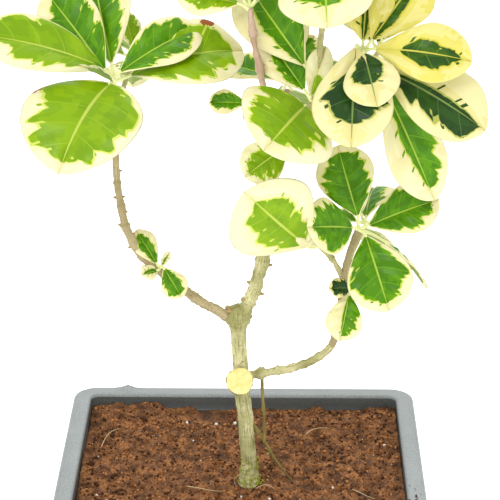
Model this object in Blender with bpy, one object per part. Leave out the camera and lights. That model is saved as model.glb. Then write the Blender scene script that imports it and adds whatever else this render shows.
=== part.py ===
"""A young bonsai of variegated coprosma in a rectangular training tray, at real size in metres.

+X is to the viewer's right, +Y away from the viewer and +Z up. The origin is the middle of the
tray's flat underside. The tray is a thin moulded shell with a lip and an inner ledge, the soil
fills it, and the plant stands on the soil: a leaning trunk with the sawn stub of its old leader,
a left, a main and a right bough with their shoots, two aerial roots, and a mass of foliage round
each rosette of leaves. A mass is a star-shaped solid with one blunt lobe for each large leaf.
"""

import math

import bmesh
import bpy
from mathutils import Vector, noise

MM = 0.001
CLEARANCE = 0.3 * MM

# The tray, measured over its lip
TRAY_LENGTH = 0.165
TRAY_DEPTH = 0.140
TRAY_HEIGHT = 0.052
LIP_WIDTH = 8.5 * MM
LIP_DROP = 5.0 * MM
LIP_ROUND = 1.2 * MM
LIP_CORNER = 10.0 * MM
INNER_CORNER = 4.0 * MM
WALL = 2.5 * MM
FLOOR = 3.0 * MM
LEDGE_HEIGHT = TRAY_HEIGHT - 8.5 * MM
LEDGE_INSET = LIP_WIDTH + 6.5 * MM
WELL_CORNER = 14.0 * MM
WELL_TAPER = 4.0 * MM
FOOT_CHAMFER = 1.0 * MM
CORNER_STEPS = 4
DRAIN_RADIUS = 4.5 * MM
DRAIN_SIDES = 12
DRAIN_CUTTER_LENGTH = 4 * FLOOR
DRAIN_PLACES = ((-0.036, 0.028), (0.036, 0.028), (-0.036, -0.028), (0.036, -0.028))

# The soil's surface, below the lip's top
SOIL_EDGE_DROP = 5.5 * MM
SOIL_PAD_DROP = 4.0 * MM
SOIL_SWELL = 0.6 * MM
SOIL_SWELL_SIZE = 30.0 * MM
SOIL_RINGS = (0.93, 0.80, 0.62)
SOIL_FLAT_SHARE = 0.42
SOIL_TOP = TRAY_HEIGHT - SOIL_PAD_DROP

LIMB_SIDES = 8

# Each limb: four control points of one Bezier curve, the radius at its two ends, the number of
# rings, the limbs that its base is trimmed to and its swellings (share of length, extra, spread).
# All lengths in this table are in millimetres.
FOOT = SOIL_TOP / MM + 0.3
LIMBS = {
    "trunk": dict(
        path=((3.8, -13, FOOT), (3.6, -13, 82), (-1.2, -13, 96), (-1.0, -13, 133)),
        radii=(3.4, 3.2), rings=13, trim=(), swell=((0.0, 1.0, 0.05), (0.97, 1.6, 0.06)),
    ),
    "cut_stub": dict(
        path=((-1.2, -12.8, 96.6), (-1.0, -15, 98.3), (-0.6, -18, 100.5), (-0.3, -20.5, 102.4)),
        radii=(4.4, 5.8), rings=4, trim=("trunk",), swell=(),
    ),
    "surface_root": dict(
        path=((2.5, -13, 81), (8.5, -13, 74), (12, -12.5, 62), (24, -10, 46)),
        radii=(1.2, 0.8), rings=9, trim=("trunk",), swell=(),
    ),
    "left_bough_lower": dict(
        path=((-1.0, -13, 127.5), (-12, -13, 134), (-25, -13.5, 142), (-41.2, -13, 157.6)),
        radii=(2.1, 1.9), rings=9, trim=("trunk",), swell=(),
    ),
    "left_bough_upper": dict(
        path=((-41.6, -13, 158.1), (-55, -13, 174), (-51, -13.5, 196), (-52.4, -13, 232)),
        radii=(1.9, 1.2), rings=9, trim=("left_bough_lower",), swell=(),
    ),
    "left_back_shoot": dict(
        path=((-52.4, -13, 219), (-52, -4, 224), (-49, 5, 229), (-46, 13, 236)),
        radii=(1.2, 1.0), rings=6, trim=("left_bough_upper",), swell=(),
    ),
    "main_bough": dict(
        path=((0.0, -13, 130), (8, -13, 144), (14, -12.5, 166), (12.8, -12.5, 206)),
        radii=(2.9, 2.2), rings=10, trim=("trunk",), swell=((0.03, 0.9, 0.05),),
    ),
    "centre_shoot": dict(
        path=((12.8, -12.5, 205), (15, -12.5, 224), (5, -12.5, 246), (5, -12.5, 266)),
        radii=(1.7, 1.2), rings=8, trim=("main_bough",), swell=(),
    ),
    "right_shoot": dict(
        path=((12.8, -12.5, 203), (20, -13, 224), (32, -15, 226), (49, -19, 251)),
        radii=(2.0, 1.3), rings=8, trim=("main_bough", "centre_shoot"), swell=(),
    ),
    "top_shoot": dict(
        path=((30, -14.6, 230), (34, -11, 243), (34, -10, 262), (33, -10, 282)),
        radii=(1.4, 1.1), rings=8, trim=("right_shoot",), swell=(),
    ),
    "back_shoot": dict(
        path=((12.8, -12.5, 190), (13, 2, 199), (15, 14, 208), (20, 26, 219)),
        radii=(1.7, 1.2), rings=8, trim=("main_bough",), swell=(),
    ),
    "right_back_shoot": dict(
        path=((36, -16, 236), (42, -6, 236), (50, 6, 236), (57, 14, 240)),
        radii=(1.3, 1.0), rings=7, trim=("right_shoot",), swell=(),
    ),
    "right_bough_lower": dict(
        path=((0, -13, 101), (16, -13, 104), (32, -13.5, 105), (40.2, -13, 116.8)),
        radii=(1.9, 1.7), rings=9, trim=("trunk", "cut_stub"), swell=(),
    ),
    "right_bough_upper": dict(
        path=((40.5, -13, 117.4), (45.5, -13, 130), (42, -13, 152), (50, -14, 171)),
        radii=(1.6, 1.2), rings=9, trim=("right_bough_lower",), swell=(),
    ),
    "right_twig": dict(
        path=((43.9, -13, 150), (41, -14, 157), (37, -18, 162), (33.5, -21, 167)),
        radii=(1.2, 1.0), rings=5, trim=("right_bough_upper",), swell=(),
    ),
    "right_back_twig": dict(
        path=((43.3, -13, 140), (44, -5, 146), (49, 2, 154), (53, 8, 162)),
        radii=(1.2, 1.0), rings=7, trim=("right_bough_upper",), swell=(),
    ),
    "hanging_root": dict(
        path=((9.6, -13, 102.5), (9.2, -14, 92), (11, -14, 82), (10.4, -13.2, 70)),
        radii=(0.8, 0.6), rings=8, trim=("right_bough_lower", "surface_root"), swell=(),
    ),
}

# Each mass of foliage: the middle of its rosette, the radius of its core, and a lobe for each
# large leaf: heading (degrees from +X towards +Y), rise (degrees), length and width.
# All lengths in this table are in millimetres.
MASSES = {
    "foliage_side_leaf": dict(
        centre=(8.5, -10.5, 227.5), core=3, leaves=((178, 1, 21.5, 10),),
    ),
    "foliage_left_crown": dict(
        centre=(-52, -14, 239), core=12,
        leaves=(
            (-167, 18, 56, 26), (129, 31, 45, 24), (118, 62, 40, 24), (36, 24, 42, 22),
            (18, 3, 52, 32), (-127, -26, 44, 42),
        ),
    ),
    "foliage_left_back": dict(
        centre=(-45, 15, 239), core=9,
        leaves=((92, 12, 36, 24), (152, 0, 34, 24), (48, -18, 32, 22), (100, -48, 26, 22)),
    ),
    "foliage_left_sprout": dict(
        centre=(-34, -15, 155), core=3.5,
        leaves=((147, 51, 19, 10), (-44, -52, 17, 11), (-124, 2, 11, 8), (30, 45, 9, 5)),
    ),
    "foliage_centre": dict(
        centre=(28, -13, 232), core=6,
        leaves=((150, 48, 52, 22), (144, 36, 30, 18), (60, 66, 24, 12)),
    ),
    "foliage_top_left": dict(
        centre=(4, -10, 268), core=7,
        leaves=((176, 12, 34, 20), (92, 40, 38, 22), (118, 80, 30, 18), (60, 15, 32, 20)),
    ),
    "foliage_top_right": dict(
        centre=(33, -9, 284), core=9,
        leaves=(
            (-84, -46, 34, 34), (10, 20, 38, 22), (88, 14, 42, 24), (150, 30, 36, 22),
            (60, 66, 30, 20), (-30, 48, 28, 18),
        ),
    ),
    "foliage_right_crown": dict(
        centre=(51, -21, 253), core=11,
        leaves=(
            (-68, -40, 34, 24), (44, 27, 38, 24), (-12, -1, 44, 22), (-16, -24, 58, 24),
            (-14, -56, 66, 22), (-82, -58, 44, 30),
        ),
    ),
    "foliage_right_back": dict(
        centre=(58, 16, 242), core=9,
        leaves=(
            (84, 10, 38, 24), (20, 4, 36, 24), (50, 52, 30, 20), (100, -48, 34, 24),
            (28, -50, 32, 22),
        ),
    ),
    "foliage_middle_upper": dict(
        centre=(24, -20, 225), core=6,
        leaves=((-128, -8, 32, 38), (176, 12, 28, 24), (-60, -14, 22, 22), (-120, -58, 30, 20)),
    ),
    "foliage_back_centre": dict(
        centre=(20, 29, 223), core=10,
        leaves=(
            (90, 8, 42, 26), (150, 4, 36, 24), (30, 0, 34, 24), (100, 56, 34, 22), (122, -44, 36, 24),
            (60, -52, 34, 24),
        ),
    ),
    "foliage_middle_lower": dict(
        centre=(32, -22, 170), core=5,
        leaves=((-160, 36, 42, 44), (-150, 4, 30, 24)),
    ),
    "foliage_right_rosette": dict(
        centre=(51, -15, 174), core=6,
        leaves=(
            (120, 62, 32, 20), (-141, 12, 28, 20), (4, 19, 34, 20), (-63, -52, 36, 26),
            (20, -50, 38, 16),
        ),
    ),
    "foliage_right_low_back": dict(
        centre=(54, 10, 165), core=6,
        leaves=((80, 6, 34, 22), (14, 10, 30, 20), (60, -52, 28, 20), (120, 44, 28, 18)),
    ),
    "foliage_right_sprig": dict(
        centre=(47, -17, 144), core=3,
        leaves=((-141, -4, 13, 9), (-119, -57, 23, 13)),
    ),
}
LARGE_MASSES = ("foliage_left_crown", "foliage_right_crown")
LARGE_DETAIL = 4
SMALL_DETAIL = 3
LARGE_KEPT_SHARE = 0.34
MASS_GROWTH = 0.5 * MM
BOX_ROOM = 1.0 * MM
LOBE_THICKNESS = math.radians(34)
LOBE_WIDEST_SHARE = 0.62
LOBE_SPREAD = 1.6
LOBE_SIDE_POWER = 0.7
LOBE_FACE_POWER = 0.9
LOBE_BLEND = 5
UNEVEN_SHARE = 0.07
UNEVEN_SCALE = 70.0
MASS_SEED_STEP = 3.7

COLOURS = {
    "tray": ((0.22, 0.24, 0.25), 0.5),
    "soil": ((0.23, 0.12, 0.07), 0.95),
    "bark": ((0.50, 0.48, 0.28), 0.8),
    "cut_wood": ((0.86, 0.80, 0.42), 0.7),
    "root": ((0.55, 0.50, 0.26), 0.8),
    "leaf": ((0.52, 0.66, 0.22), 0.4),
}


def clear_scene():
    for obj in list(bpy.data.objects):
        bpy.data.objects.remove(obj)


def material(name):
    """The named finish as a Principled material, made once."""
    found = bpy.data.materials.get(name)
    if found:
        return found
    made = bpy.data.materials.new(name)
    made.use_nodes = True
    shader = made.node_tree.nodes["Principled BSDF"]
    colour, roughness = COLOURS[name]
    shader.inputs["Base Color"].default_value = (*colour, 1.0)
    shader.inputs["Roughness"].default_value = roughness
    return made


def add_object(name, mesh_builder, finish):
    """A scene object from a bmesh, with its normals outwards."""
    bmesh.ops.recalc_face_normals(mesh_builder, faces=mesh_builder.faces)
    mesh = bpy.data.meshes.new(name)
    mesh_builder.to_mesh(mesh)
    mesh_builder.free()
    obj = bpy.data.objects.new(name, mesh)
    bpy.context.scene.collection.objects.link(obj)
    if finish:
        mesh.materials.append(material(finish))
        mesh.shade_smooth()
    return obj


def as_cutter(obj):
    obj.hide_render = True
    obj.display_type = "WIRE"
    return obj


def subtract(obj, cutter):
    cut = obj.modifiers.new("less_" + cutter.name, "BOOLEAN")
    cut.operation = "DIFFERENCE"
    cut.solver = "EXACT"
    cut.object = cutter


def loft(name, loops, finish):
    """A closed solid through loops of equally many points, capped at both ends."""
    builder = bmesh.new()
    rings = [[builder.verts.new(point) for point in loop] for loop in loops]
    for lower, upper in zip(rings, rings[1:]):
        count = len(lower)
        for i in range(count):
            j = (i + 1) % count
            builder.faces.new((lower[i], lower[j], upper[j], upper[i]))
    builder.faces.new(rings[0])
    builder.faces.new(rings[-1])
    return add_object(name, builder, finish)


def rounded_loop(inset, height, corner):
    """The tray's outline drawn in by inset, with quarter circles at its corners."""
    half_x = TRAY_LENGTH / 2 - inset
    half_y = TRAY_DEPTH / 2 - inset
    points = []
    for quarter, (sign_x, sign_y) in enumerate(((1, 1), (-1, 1), (-1, -1), (1, -1))):
        centre_x = sign_x * (half_x - corner)
        centre_y = sign_y * (half_y - corner)
        for step in range(CORNER_STEPS + 1):
            angle = math.radians(90) * (quarter + step / CORNER_STEPS)
            x = centre_x + corner * math.cos(angle)
            y = centre_y + corner * math.sin(angle)
            points.append(Vector((x, y, height)))
    return points


def make_tray():
    """The moulded shell: flat underside, stepped wall, lip, inner ledge and well, and drain holes."""
    body_inset = LIP_WIDTH - WALL
    well_outside = LEDGE_INSET - WALL
    foot_inset = well_outside + WELL_TAPER
    tray = loft(
        "tray",
        (
            rounded_loop(foot_inset + FOOT_CHAMFER, 0.0, WELL_CORNER),
            rounded_loop(foot_inset, FOOT_CHAMFER, WELL_CORNER),
            rounded_loop(well_outside, LEDGE_HEIGHT - WALL, WELL_CORNER),
            rounded_loop(body_inset, LEDGE_HEIGHT - WALL / 2, LIP_CORNER),
            rounded_loop(body_inset, TRAY_HEIGHT - LIP_DROP, LIP_CORNER),
            rounded_loop(LIP_ROUND, TRAY_HEIGHT - LIP_DROP, LIP_CORNER),
            rounded_loop(0.0, TRAY_HEIGHT - LIP_DROP + LIP_ROUND, LIP_CORNER),
            rounded_loop(0.0, TRAY_HEIGHT - LIP_ROUND, LIP_CORNER),
            rounded_loop(LIP_ROUND, TRAY_HEIGHT, LIP_CORNER),
            rounded_loop(LIP_WIDTH - LIP_ROUND, TRAY_HEIGHT, INNER_CORNER),
            rounded_loop(LIP_WIDTH, TRAY_HEIGHT - LIP_ROUND, INNER_CORNER),
            rounded_loop(LIP_WIDTH, LEDGE_HEIGHT, INNER_CORNER),
            rounded_loop(LEDGE_INSET, LEDGE_HEIGHT, WELL_CORNER),
            rounded_loop(LEDGE_INSET + WELL_TAPER, FLOOR, WELL_CORNER),
        ),
        "tray",
    )
    for index, (x, y) in enumerate(DRAIN_PLACES):
        builder = bmesh.new()
        bmesh.ops.create_cone(
            builder,
            cap_ends=True,
            segments=DRAIN_SIDES,
            radius1=DRAIN_RADIUS,
            radius2=DRAIN_RADIUS,
            depth=DRAIN_CUTTER_LENGTH,
        )
        bmesh.ops.translate(builder, verts=builder.verts, vec=(x, y, 0.0))
        subtract(tray, as_cutter(add_object(f"drain_cutter_{index}", builder, None)))
    return tray


def soil_height(point, share):
    """The surface's height: from its edge it rises to a flat pad, with a slow swell between."""
    rise = min(1.0, (1.0 - share) / (1.0 - SOIL_FLAT_SHARE))
    edge = TRAY_HEIGHT - SOIL_EDGE_DROP
    swell = SOIL_SWELL * noise.noise(point / SOIL_SWELL_SIZE) * math.sin(math.pi * rise)
    return edge + (SOIL_TOP - edge) * rise + swell


def make_soil():
    """The root ball and soil: fills the well and the ledge, and swells gently to the trunk's foot."""
    gap = CLEARANCE
    loops = [
        rounded_loop(LEDGE_INSET + WELL_TAPER + gap, FLOOR + gap, WELL_CORNER),
        rounded_loop(LEDGE_INSET + gap, LEDGE_HEIGHT + gap, WELL_CORNER),
        rounded_loop(LIP_WIDTH + gap, LEDGE_HEIGHT + gap, INNER_CORNER),
    ]
    edge = rounded_loop(LIP_WIDTH + gap, TRAY_HEIGHT - SOIL_EDGE_DROP, INNER_CORNER)
    loops.append(edge)
    for share in (*SOIL_RINGS, SOIL_FLAT_SHARE):
        ring = [Vector((point.x * share, point.y * share, 0.0)) for point in edge]
        for point in ring:
            point.z = soil_height(point, share)
        loops.append(ring)
    return loft("soil", loops, "soil")


def bezier(path, share):
    """The point at a share of the way along a cubic Bezier curve."""
    a, b, c, d = (Vector(point) * MM for point in path)
    rest = 1.0 - share
    return rest**3 * a + 3 * rest**2 * share * b + 3 * rest * share**2 * c + share**3 * d


def limb_radius(limb, share):
    start, end = limb["radii"]
    radius = start + (end - start) * share
    for place, extra, spread in limb["swell"]:
        radius += extra * math.exp(-(((share - place) / spread) ** 2))
    return radius * MM


def make_limb(name, limb, finish, growth=0.0):
    """A tapering tube along the limb's curve, grown all round for a cutter, level at the trunk's foot."""
    steps = limb["rings"] - 1
    shares = [i / steps for i in range(steps + 1)]
    centres = [bezier(limb["path"], share) for share in shares]
    centres[0] += growth * (centres[0] - centres[1]).normalized()
    centres[-1] += growth * (centres[-1] - centres[-2]).normalized()
    side = Vector((0.0, 1.0, 0.0))
    loops = []
    for i, share in enumerate(shares):
        before = centres[max(i - 1, 0)]
        after = centres[min(i + 1, steps)]
        along = (after - before).normalized()
        if name == "trunk" and i == 0:
            along = Vector((0.0, 0.0, 1.0))
        side = (side - along * side.dot(along)).normalized()
        across = along.cross(side)
        radius = limb_radius(limb, share) + growth
        loop = []
        for k in range(LIMB_SIDES):
            angle = math.tau * k / LIMB_SIDES
            loop.append(centres[i] + radius * (math.cos(angle) * side + math.sin(angle) * across))
        loops.append(loop)
    return loft(name, loops, finish)


def leaf_frame(heading, rise):
    """Unit vectors along a leaf, across it and out of its face."""
    turn = math.radians(heading)
    lift = math.radians(rise)
    flat = math.cos(lift)
    along = Vector((flat * math.cos(turn), flat * math.sin(turn), math.sin(lift)))
    across = Vector((-math.sin(turn), math.cos(turn), 0.0))
    return along, across, along.cross(across)


def lobe_reach(direction, leaf):
    """How far one leaf's lobe reaches in a direction: its length, falling to nothing off its sides."""
    heading, rise, length, width = leaf
    along, across, out = leaf_frame(heading, rise)
    sideways = math.atan2(direction.dot(across), direction.dot(along))
    upwards = math.asin(max(-1.0, min(1.0, direction.dot(out))))
    half_angle = LOBE_SPREAD * math.atan2(width / 2, LOBE_WIDEST_SHARE * length)
    if abs(sideways) >= half_angle or abs(upwards) >= LOBE_THICKNESS:
        return 0.0
    fall_side = math.cos(math.pi / 2 * sideways / half_angle) ** LOBE_SIDE_POWER
    fall_up = math.cos(math.pi / 2 * upwards / LOBE_THICKNESS) ** LOBE_FACE_POWER
    return length * fall_side * fall_up


def make_mass(name, mass, seed):
    """A rosette's envelope: a sphere drawn out to a blunt lobe along each leaf, and slightly uneven."""
    builder = bmesh.new()
    detail = LARGE_DETAIL if name in LARGE_MASSES else SMALL_DETAIL
    bmesh.ops.create_icosphere(builder, subdivisions=detail, radius=1.0)
    centre = Vector(mass["centre"]) * MM
    for vert in builder.verts:
        direction = vert.co.normalized()
        reaches = [mass["core"]] + [lobe_reach(direction, leaf) for leaf in mass["leaves"]]
        reach = sum(value**LOBE_BLEND for value in reaches) ** (1 / LOBE_BLEND) * MM
        place = centre + direction * reach
        uneven = 1.0 + UNEVEN_SHARE * noise.noise(place * UNEVEN_SCALE + Vector((seed, 0.0, 0.0)))
        vert.co = centre + direction * reach * uneven
    obj = add_object(name, builder, "leaf")
    if name in LARGE_MASSES:
        thin = obj.modifiers.new("fewer_faces", "DECIMATE")
        thin.ratio = LARGE_KEPT_SHARE
    return obj


def grown_copy(obj):
    """A cutter of the object's untrimmed shape, pushed outwards by the gap between masses."""
    copy = obj.copy()
    copy.data = obj.data.copy()
    copy.name = obj.name + "_room"
    bpy.context.scene.collection.objects.link(copy)
    push = copy.modifiers.new("push_out", "DISPLACE")
    push.strength = MASS_GROWTH
    push.mid_level = 0.0
    return as_cutter(copy)


def reach_box(obj):
    """The lowest and highest corners of the object's own mesh, with room round them."""
    corners = [vert.co for vert in obj.data.vertices]
    low = [min(corner[i] for corner in corners) - BOX_ROOM for i in range(3)]
    high = [max(corner[i] for corner in corners) + BOX_ROOM for i in range(3)]
    return low, high


def boxes_meet(first, second):
    return all(first[0][i] < second[1][i] and second[0][i] < first[1][i] for i in range(3))


def finish_of(limb_name):
    if limb_name == "cut_stub":
        return "cut_wood"
    return "root" if limb_name.endswith("root") else "bark"


def make_limbs():
    """All limbs, each with its base trimmed to the limb that carries it. Returns cutters by name."""
    rooms = {}
    for name, limb in LIMBS.items():
        rooms[name] = as_cutter(make_limb(name + "_room", limb, None, CLEARANCE))
        obj = make_limb(name, limb, finish_of(name))
        for other in limb["trim"]:
            subtract(obj, rooms[other])
    return rooms


def make_masses(limb_rooms):
    """All masses, each cut round the limbs that enter it and back from the masses made before it."""
    rooms = [(room, reach_box(room)) for room in limb_rooms.values()]
    for index, (name, mass) in enumerate(MASSES.items()):
        obj = make_mass(name, mass, MASS_SEED_STEP * (index + 1))
        box = reach_box(obj)
        room = grown_copy(obj)
        for other, other_box in rooms:
            if boxes_meet(box, other_box):
                subtract(obj, other)
        rooms.append((room, box))


def main():
    clear_scene()
    make_tray()
    soil = make_soil()
    rooms = make_limbs()
    subtract(soil, rooms["surface_root"])
    make_masses(rooms)


main()
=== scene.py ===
"""The looks of a potted variegated coprosma bonsai.

Every leaf is a closed blade worked out from its base, tip, face and width, with its cream edge,
lime band, green heart and pale veins dealt out as plain colours to its own faces. The trunk and the
boughs are tubes with the bark's relief, the soil is a crumbled surface with loose crumbs, and the
tray is a moulded shell. Lengths in the tables are in millimetres.
"""

import math

import bpy
import numpy as np
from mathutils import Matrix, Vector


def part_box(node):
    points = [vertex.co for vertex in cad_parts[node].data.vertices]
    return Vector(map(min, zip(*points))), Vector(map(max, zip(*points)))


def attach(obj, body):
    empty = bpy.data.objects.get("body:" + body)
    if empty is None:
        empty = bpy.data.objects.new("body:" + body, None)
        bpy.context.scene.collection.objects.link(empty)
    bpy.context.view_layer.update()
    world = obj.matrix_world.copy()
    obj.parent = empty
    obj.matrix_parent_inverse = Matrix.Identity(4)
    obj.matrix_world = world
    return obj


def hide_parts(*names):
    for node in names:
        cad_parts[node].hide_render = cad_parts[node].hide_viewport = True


bl_info = {
    "name": "Potted variegated coprosma",
    "version": (1, 0, 0),
    "blender": (4, 5, 0),
    "location": "3D View > Sidebar > Coprosma",
    "description": "Builds the looks of a potted variegated coprosma bonsai round its solids",
    "category": "Add Mesh",
}

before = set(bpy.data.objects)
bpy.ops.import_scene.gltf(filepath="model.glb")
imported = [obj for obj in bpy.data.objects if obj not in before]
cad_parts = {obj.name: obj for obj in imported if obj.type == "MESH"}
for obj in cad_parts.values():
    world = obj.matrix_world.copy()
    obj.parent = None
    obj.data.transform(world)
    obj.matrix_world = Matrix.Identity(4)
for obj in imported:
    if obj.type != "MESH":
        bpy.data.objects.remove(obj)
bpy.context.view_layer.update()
TRAY_LOW, TRAY_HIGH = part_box("tray")

MM = 0.001
UP = np.array((0.0, 0.0, 1.0))

# The camera: the photograph looks down on the plant from a little right of its middle. Its place is
# in metres, its pitch and turn in degrees, its lens and sensor in millimetres.
CAMERA_PLACE = (0.0135, -0.7576, 0.4877)
CAMERA_PITCH = 23.64
CAMERA_TURN = 0.72
CAMERA_LENS = 136.8
CAMERA_SENSOR = 36.0
CAMERA_CLIP = (0.05, 50.0)

# Colours are written as the eye's red, green and blue from 0 to 255. The tones of a leaf are three
# greens, the lime band, the warm and the pale cream, the midrib's vein and the side veins.
PALETTES = {
    "bright": dict(
        deep=(112, 150, 4), mid=(120, 158, 4), light=(129, 165, 6), lime=(196, 206, 90),
        warm=(222, 215, 164), pale=(226, 221, 178), vein=(180, 196, 80), side=(142, 174, 34),
    ),
    "fresh": dict(
        deep=(66, 118, 0), mid=(76, 130, 0), light=(88, 142, 0), lime=(176, 194, 60),
        warm=(222, 213, 158), pale=(226, 219, 172), vein=(160, 188, 64), side=(106, 154, 24),
    ),
    "deep": dict(
        deep=(28, 58, 18), mid=(34, 66, 19), light=(42, 76, 22), lime=(164, 170, 78),
        warm=(216, 206, 138), pale=(221, 213, 156), vein=(118, 140, 72), side=(70, 104, 48),
    ),
    "gold": dict(
        deep=(38, 74, 10), mid=(48, 86, 12), light=(62, 98, 16), lime=(186, 178, 50),
        warm=(212, 202, 98), pale=(219, 210, 128), vein=(196, 190, 78), side=(96, 126, 38),
    ),
}
GREENS = ("deep", "mid", "light", "side")
# The undersides and the burnt spots: colour and roughness
LEAF_EXTRAS = {
    "under_green": ((142, 164, 92), 0.55), "under_cream": ((232, 226, 182), 0.55),
    "burnt": ((150, 84, 40), 0.7),
}
# Small things on the soil and on the limbs
SMALL_FINISHES = {
    "crumb_dark": (72, 45, 26), "crumb_mid": (122, 78, 44), "crumb_light": (178, 122, 74),
    "perlite": (232, 226, 214), "fibre": (206, 180, 140), "moss": (150, 156, 50), "peg": (170, 146, 100),
}


def srgb(red, green, blue):
    """A linear colour from red, green and blue as the eye's 0 to 255 values."""
    values = np.array((red, green, blue)) / 255.0
    low = values / 12.92
    high = ((values + 0.055) / 1.055) ** 2.4
    return tuple(float(v) for v in np.where(values <= 0.04045, low, high))


def colour_setting(name, description, *default):
    """A colour that a user may change."""
    return bpy.props.FloatVectorProperty(
        name=name, description=description, subtype="COLOR", default=srgb(*default), min=0.0, max=1.0
    )


def share_setting(name, description, default):
    """A share from 0 to 1 that a user may change."""
    return bpy.props.FloatProperty(
        name=name, description=description, subtype="FACTOR", default=default, min=0.0, max=1.0
    )


def size_setting(name, description, default, low, high):
    """A size in millimetres that a user may change."""
    return bpy.props.FloatProperty(
        name=name, description=f"{description}, in millimetres", default=default, min=low, max=high
    )


class LeafSettings(bpy.types.PropertyGroup):
    """The thickness, gloss and stalk colour of the leaves."""

    thickness: size_setting("Blade thickness", "Thickness of a leaf blade in its middle", 0.45, 0.1, 2.0)
    roughness: share_setting("Blade roughness", "Roughness of the upper side of a leaf", 0.4)
    gloss: share_setting("Blade gloss", "Weight of the clear gloss on the upper side of a leaf", 0.10)
    petiole_colour: colour_setting("Leaf stalk", "Colour of the leaf stalks", 226, 230, 164)


class BarkSettings(bpy.types.PropertyGroup):
    """The bark's colours and relief."""

    olive: colour_setting("Olive bark", "The trunk's green-brown bark", 150, 148, 88)
    beige: colour_setting("Beige bark", "The dry bark of the boughs", 180, 164, 122)
    fissure: colour_setting("Cracks", "Colour in the bark's cracks", 96, 80, 46)
    relief: size_setting("Relief", "Depth of the bark's cracks", 0.28, 0.0, 1.0)


class TraySettings(bpy.types.PropertyGroup):
    """The tray's colour and gloss."""

    colour: colour_setting("Plastic", "The tray's grey plastic", 134, 140, 140)
    roughness: share_setting("Plastic roughness", "Roughness of the tray's plastic", 0.42)


class SoilSettings(bpy.types.PropertyGroup):
    """The soil's colours and crumbs."""

    dark: colour_setting("Dark soil", "The soil in its hollows", 62, 38, 20)
    light: colour_setting("Light soil", "The soil on its crumbs", 164, 110, 64)
    crumbs: bpy.props.IntProperty(
        name="Crumbs", description="How many loose crumbs lie on the soil", default=9000, min=0, max=20000
    )


# Noise, directions and paths

# The noise's hash: how its angle steps along each axis and from seed to seed, and what spreads its
# sine
HASH_STEPS = np.array((127.1, 311.7, 74.7))
SEED_STEP = 53.37
HASH_SPREAD = 43758.5453


def lattice_noise(points, seed=0.0):
    """Value noise from -1 to 1: a hashed value at each lattice corner, blended smoothly between."""
    points = np.asarray(points, float)
    corner = np.floor(points)
    share = points - corner
    share = share * share * (3.0 - 2.0 * share)
    total = np.zeros(points.shape[:-1])
    for dx in (0, 1):
        for dy in (0, 1):
            for dz in (0, 1):
                place = corner + (dx, dy, dz)
                angle = place @ HASH_STEPS + seed * SEED_STEP
                value = np.modf(np.abs(np.sin(angle) * HASH_SPREAD))[0]
                weight = np.abs(1 - dx - share[..., 0])
                weight = weight * np.abs(1 - dy - share[..., 1])
                weight = weight * np.abs(1 - dz - share[..., 2])
                total += value * weight
    return 2.0 * total - 1.0


def rough_noise(points, octaves, seed=0.0):
    """Noise summed over octaves, each twice as fine and half as strong as the one before."""
    total = 0.0
    for octave in range(octaves):
        scale = 2.0**octave
        total = total + lattice_noise(np.asarray(points) * scale, seed + 7.0 * octave) / scale
    return total


def line_noise(along, seed, lane=0.0):
    """Noise along one line through the lattice. Lines in different lanes run apart from each other."""
    place = np.zeros((*np.shape(along), 3))
    place[..., 0] = along
    place[..., 1] = lane
    return lattice_noise(place, seed)


def name_number(name):
    """A whole number from a name, the sum of its letters' codes, to seed what is made by chance."""
    return sum(map(ord, name))


def unit(vector):
    """The vector, or each of an array of them, divided by its length."""
    vector = np.asarray(vector, float)
    return vector / np.linalg.norm(vector, axis=-1, keepdims=True)


def turns_of(sides):
    """The angles of evenly spaced points round a circle."""
    return np.linspace(0.0, 2.0 * math.pi, sides, endpoint=False)


def way_along(points):
    """How far along its path each point lies: the running sum of the steps' lengths."""
    return np.concatenate(([0.0], np.cumsum(np.linalg.norm(np.diff(points, axis=0), axis=1))))


def bezier(path, shares):
    """Points of a cubic Bezier curve at shares of the way, counted by its parameter from 0 to 1."""
    a, b, c, d = (np.array(point, float) for point in path)
    t = np.asarray(shares)[:, None]
    return (1 - t) ** 3 * a + 3 * (1 - t) ** 2 * t * b + 3 * (1 - t) * t**2 * c + t**3 * d


def tube_frames(points):
    """Unit vectors along, aside and across at each point of a path, turned as little as possible."""
    along = unit(np.gradient(points, axis=0))
    side = np.zeros_like(points)
    current = np.array((0.0, 1.0, 0.0))
    for i, direction in enumerate(along):
        current = unit(current - direction * (current @ direction))
        side[i] = current
    return along, side, np.cross(along, side)


# Pieces: meshes gathered as arrays


def turned_outward(points, faces):
    """The faces of a closed solid, all reversed if its volume comes out negative.

    Six times the volume is the sum of a . (b x c) over the two triangles of each face.
    """
    a, b, c, d = (points[faces[:, corner]] for corner in range(4))
    volume = np.sum(a * np.cross(b, c)) + np.sum(a * np.cross(c, d))
    return faces[:, ::-1] if volume < 0 else faces


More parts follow.
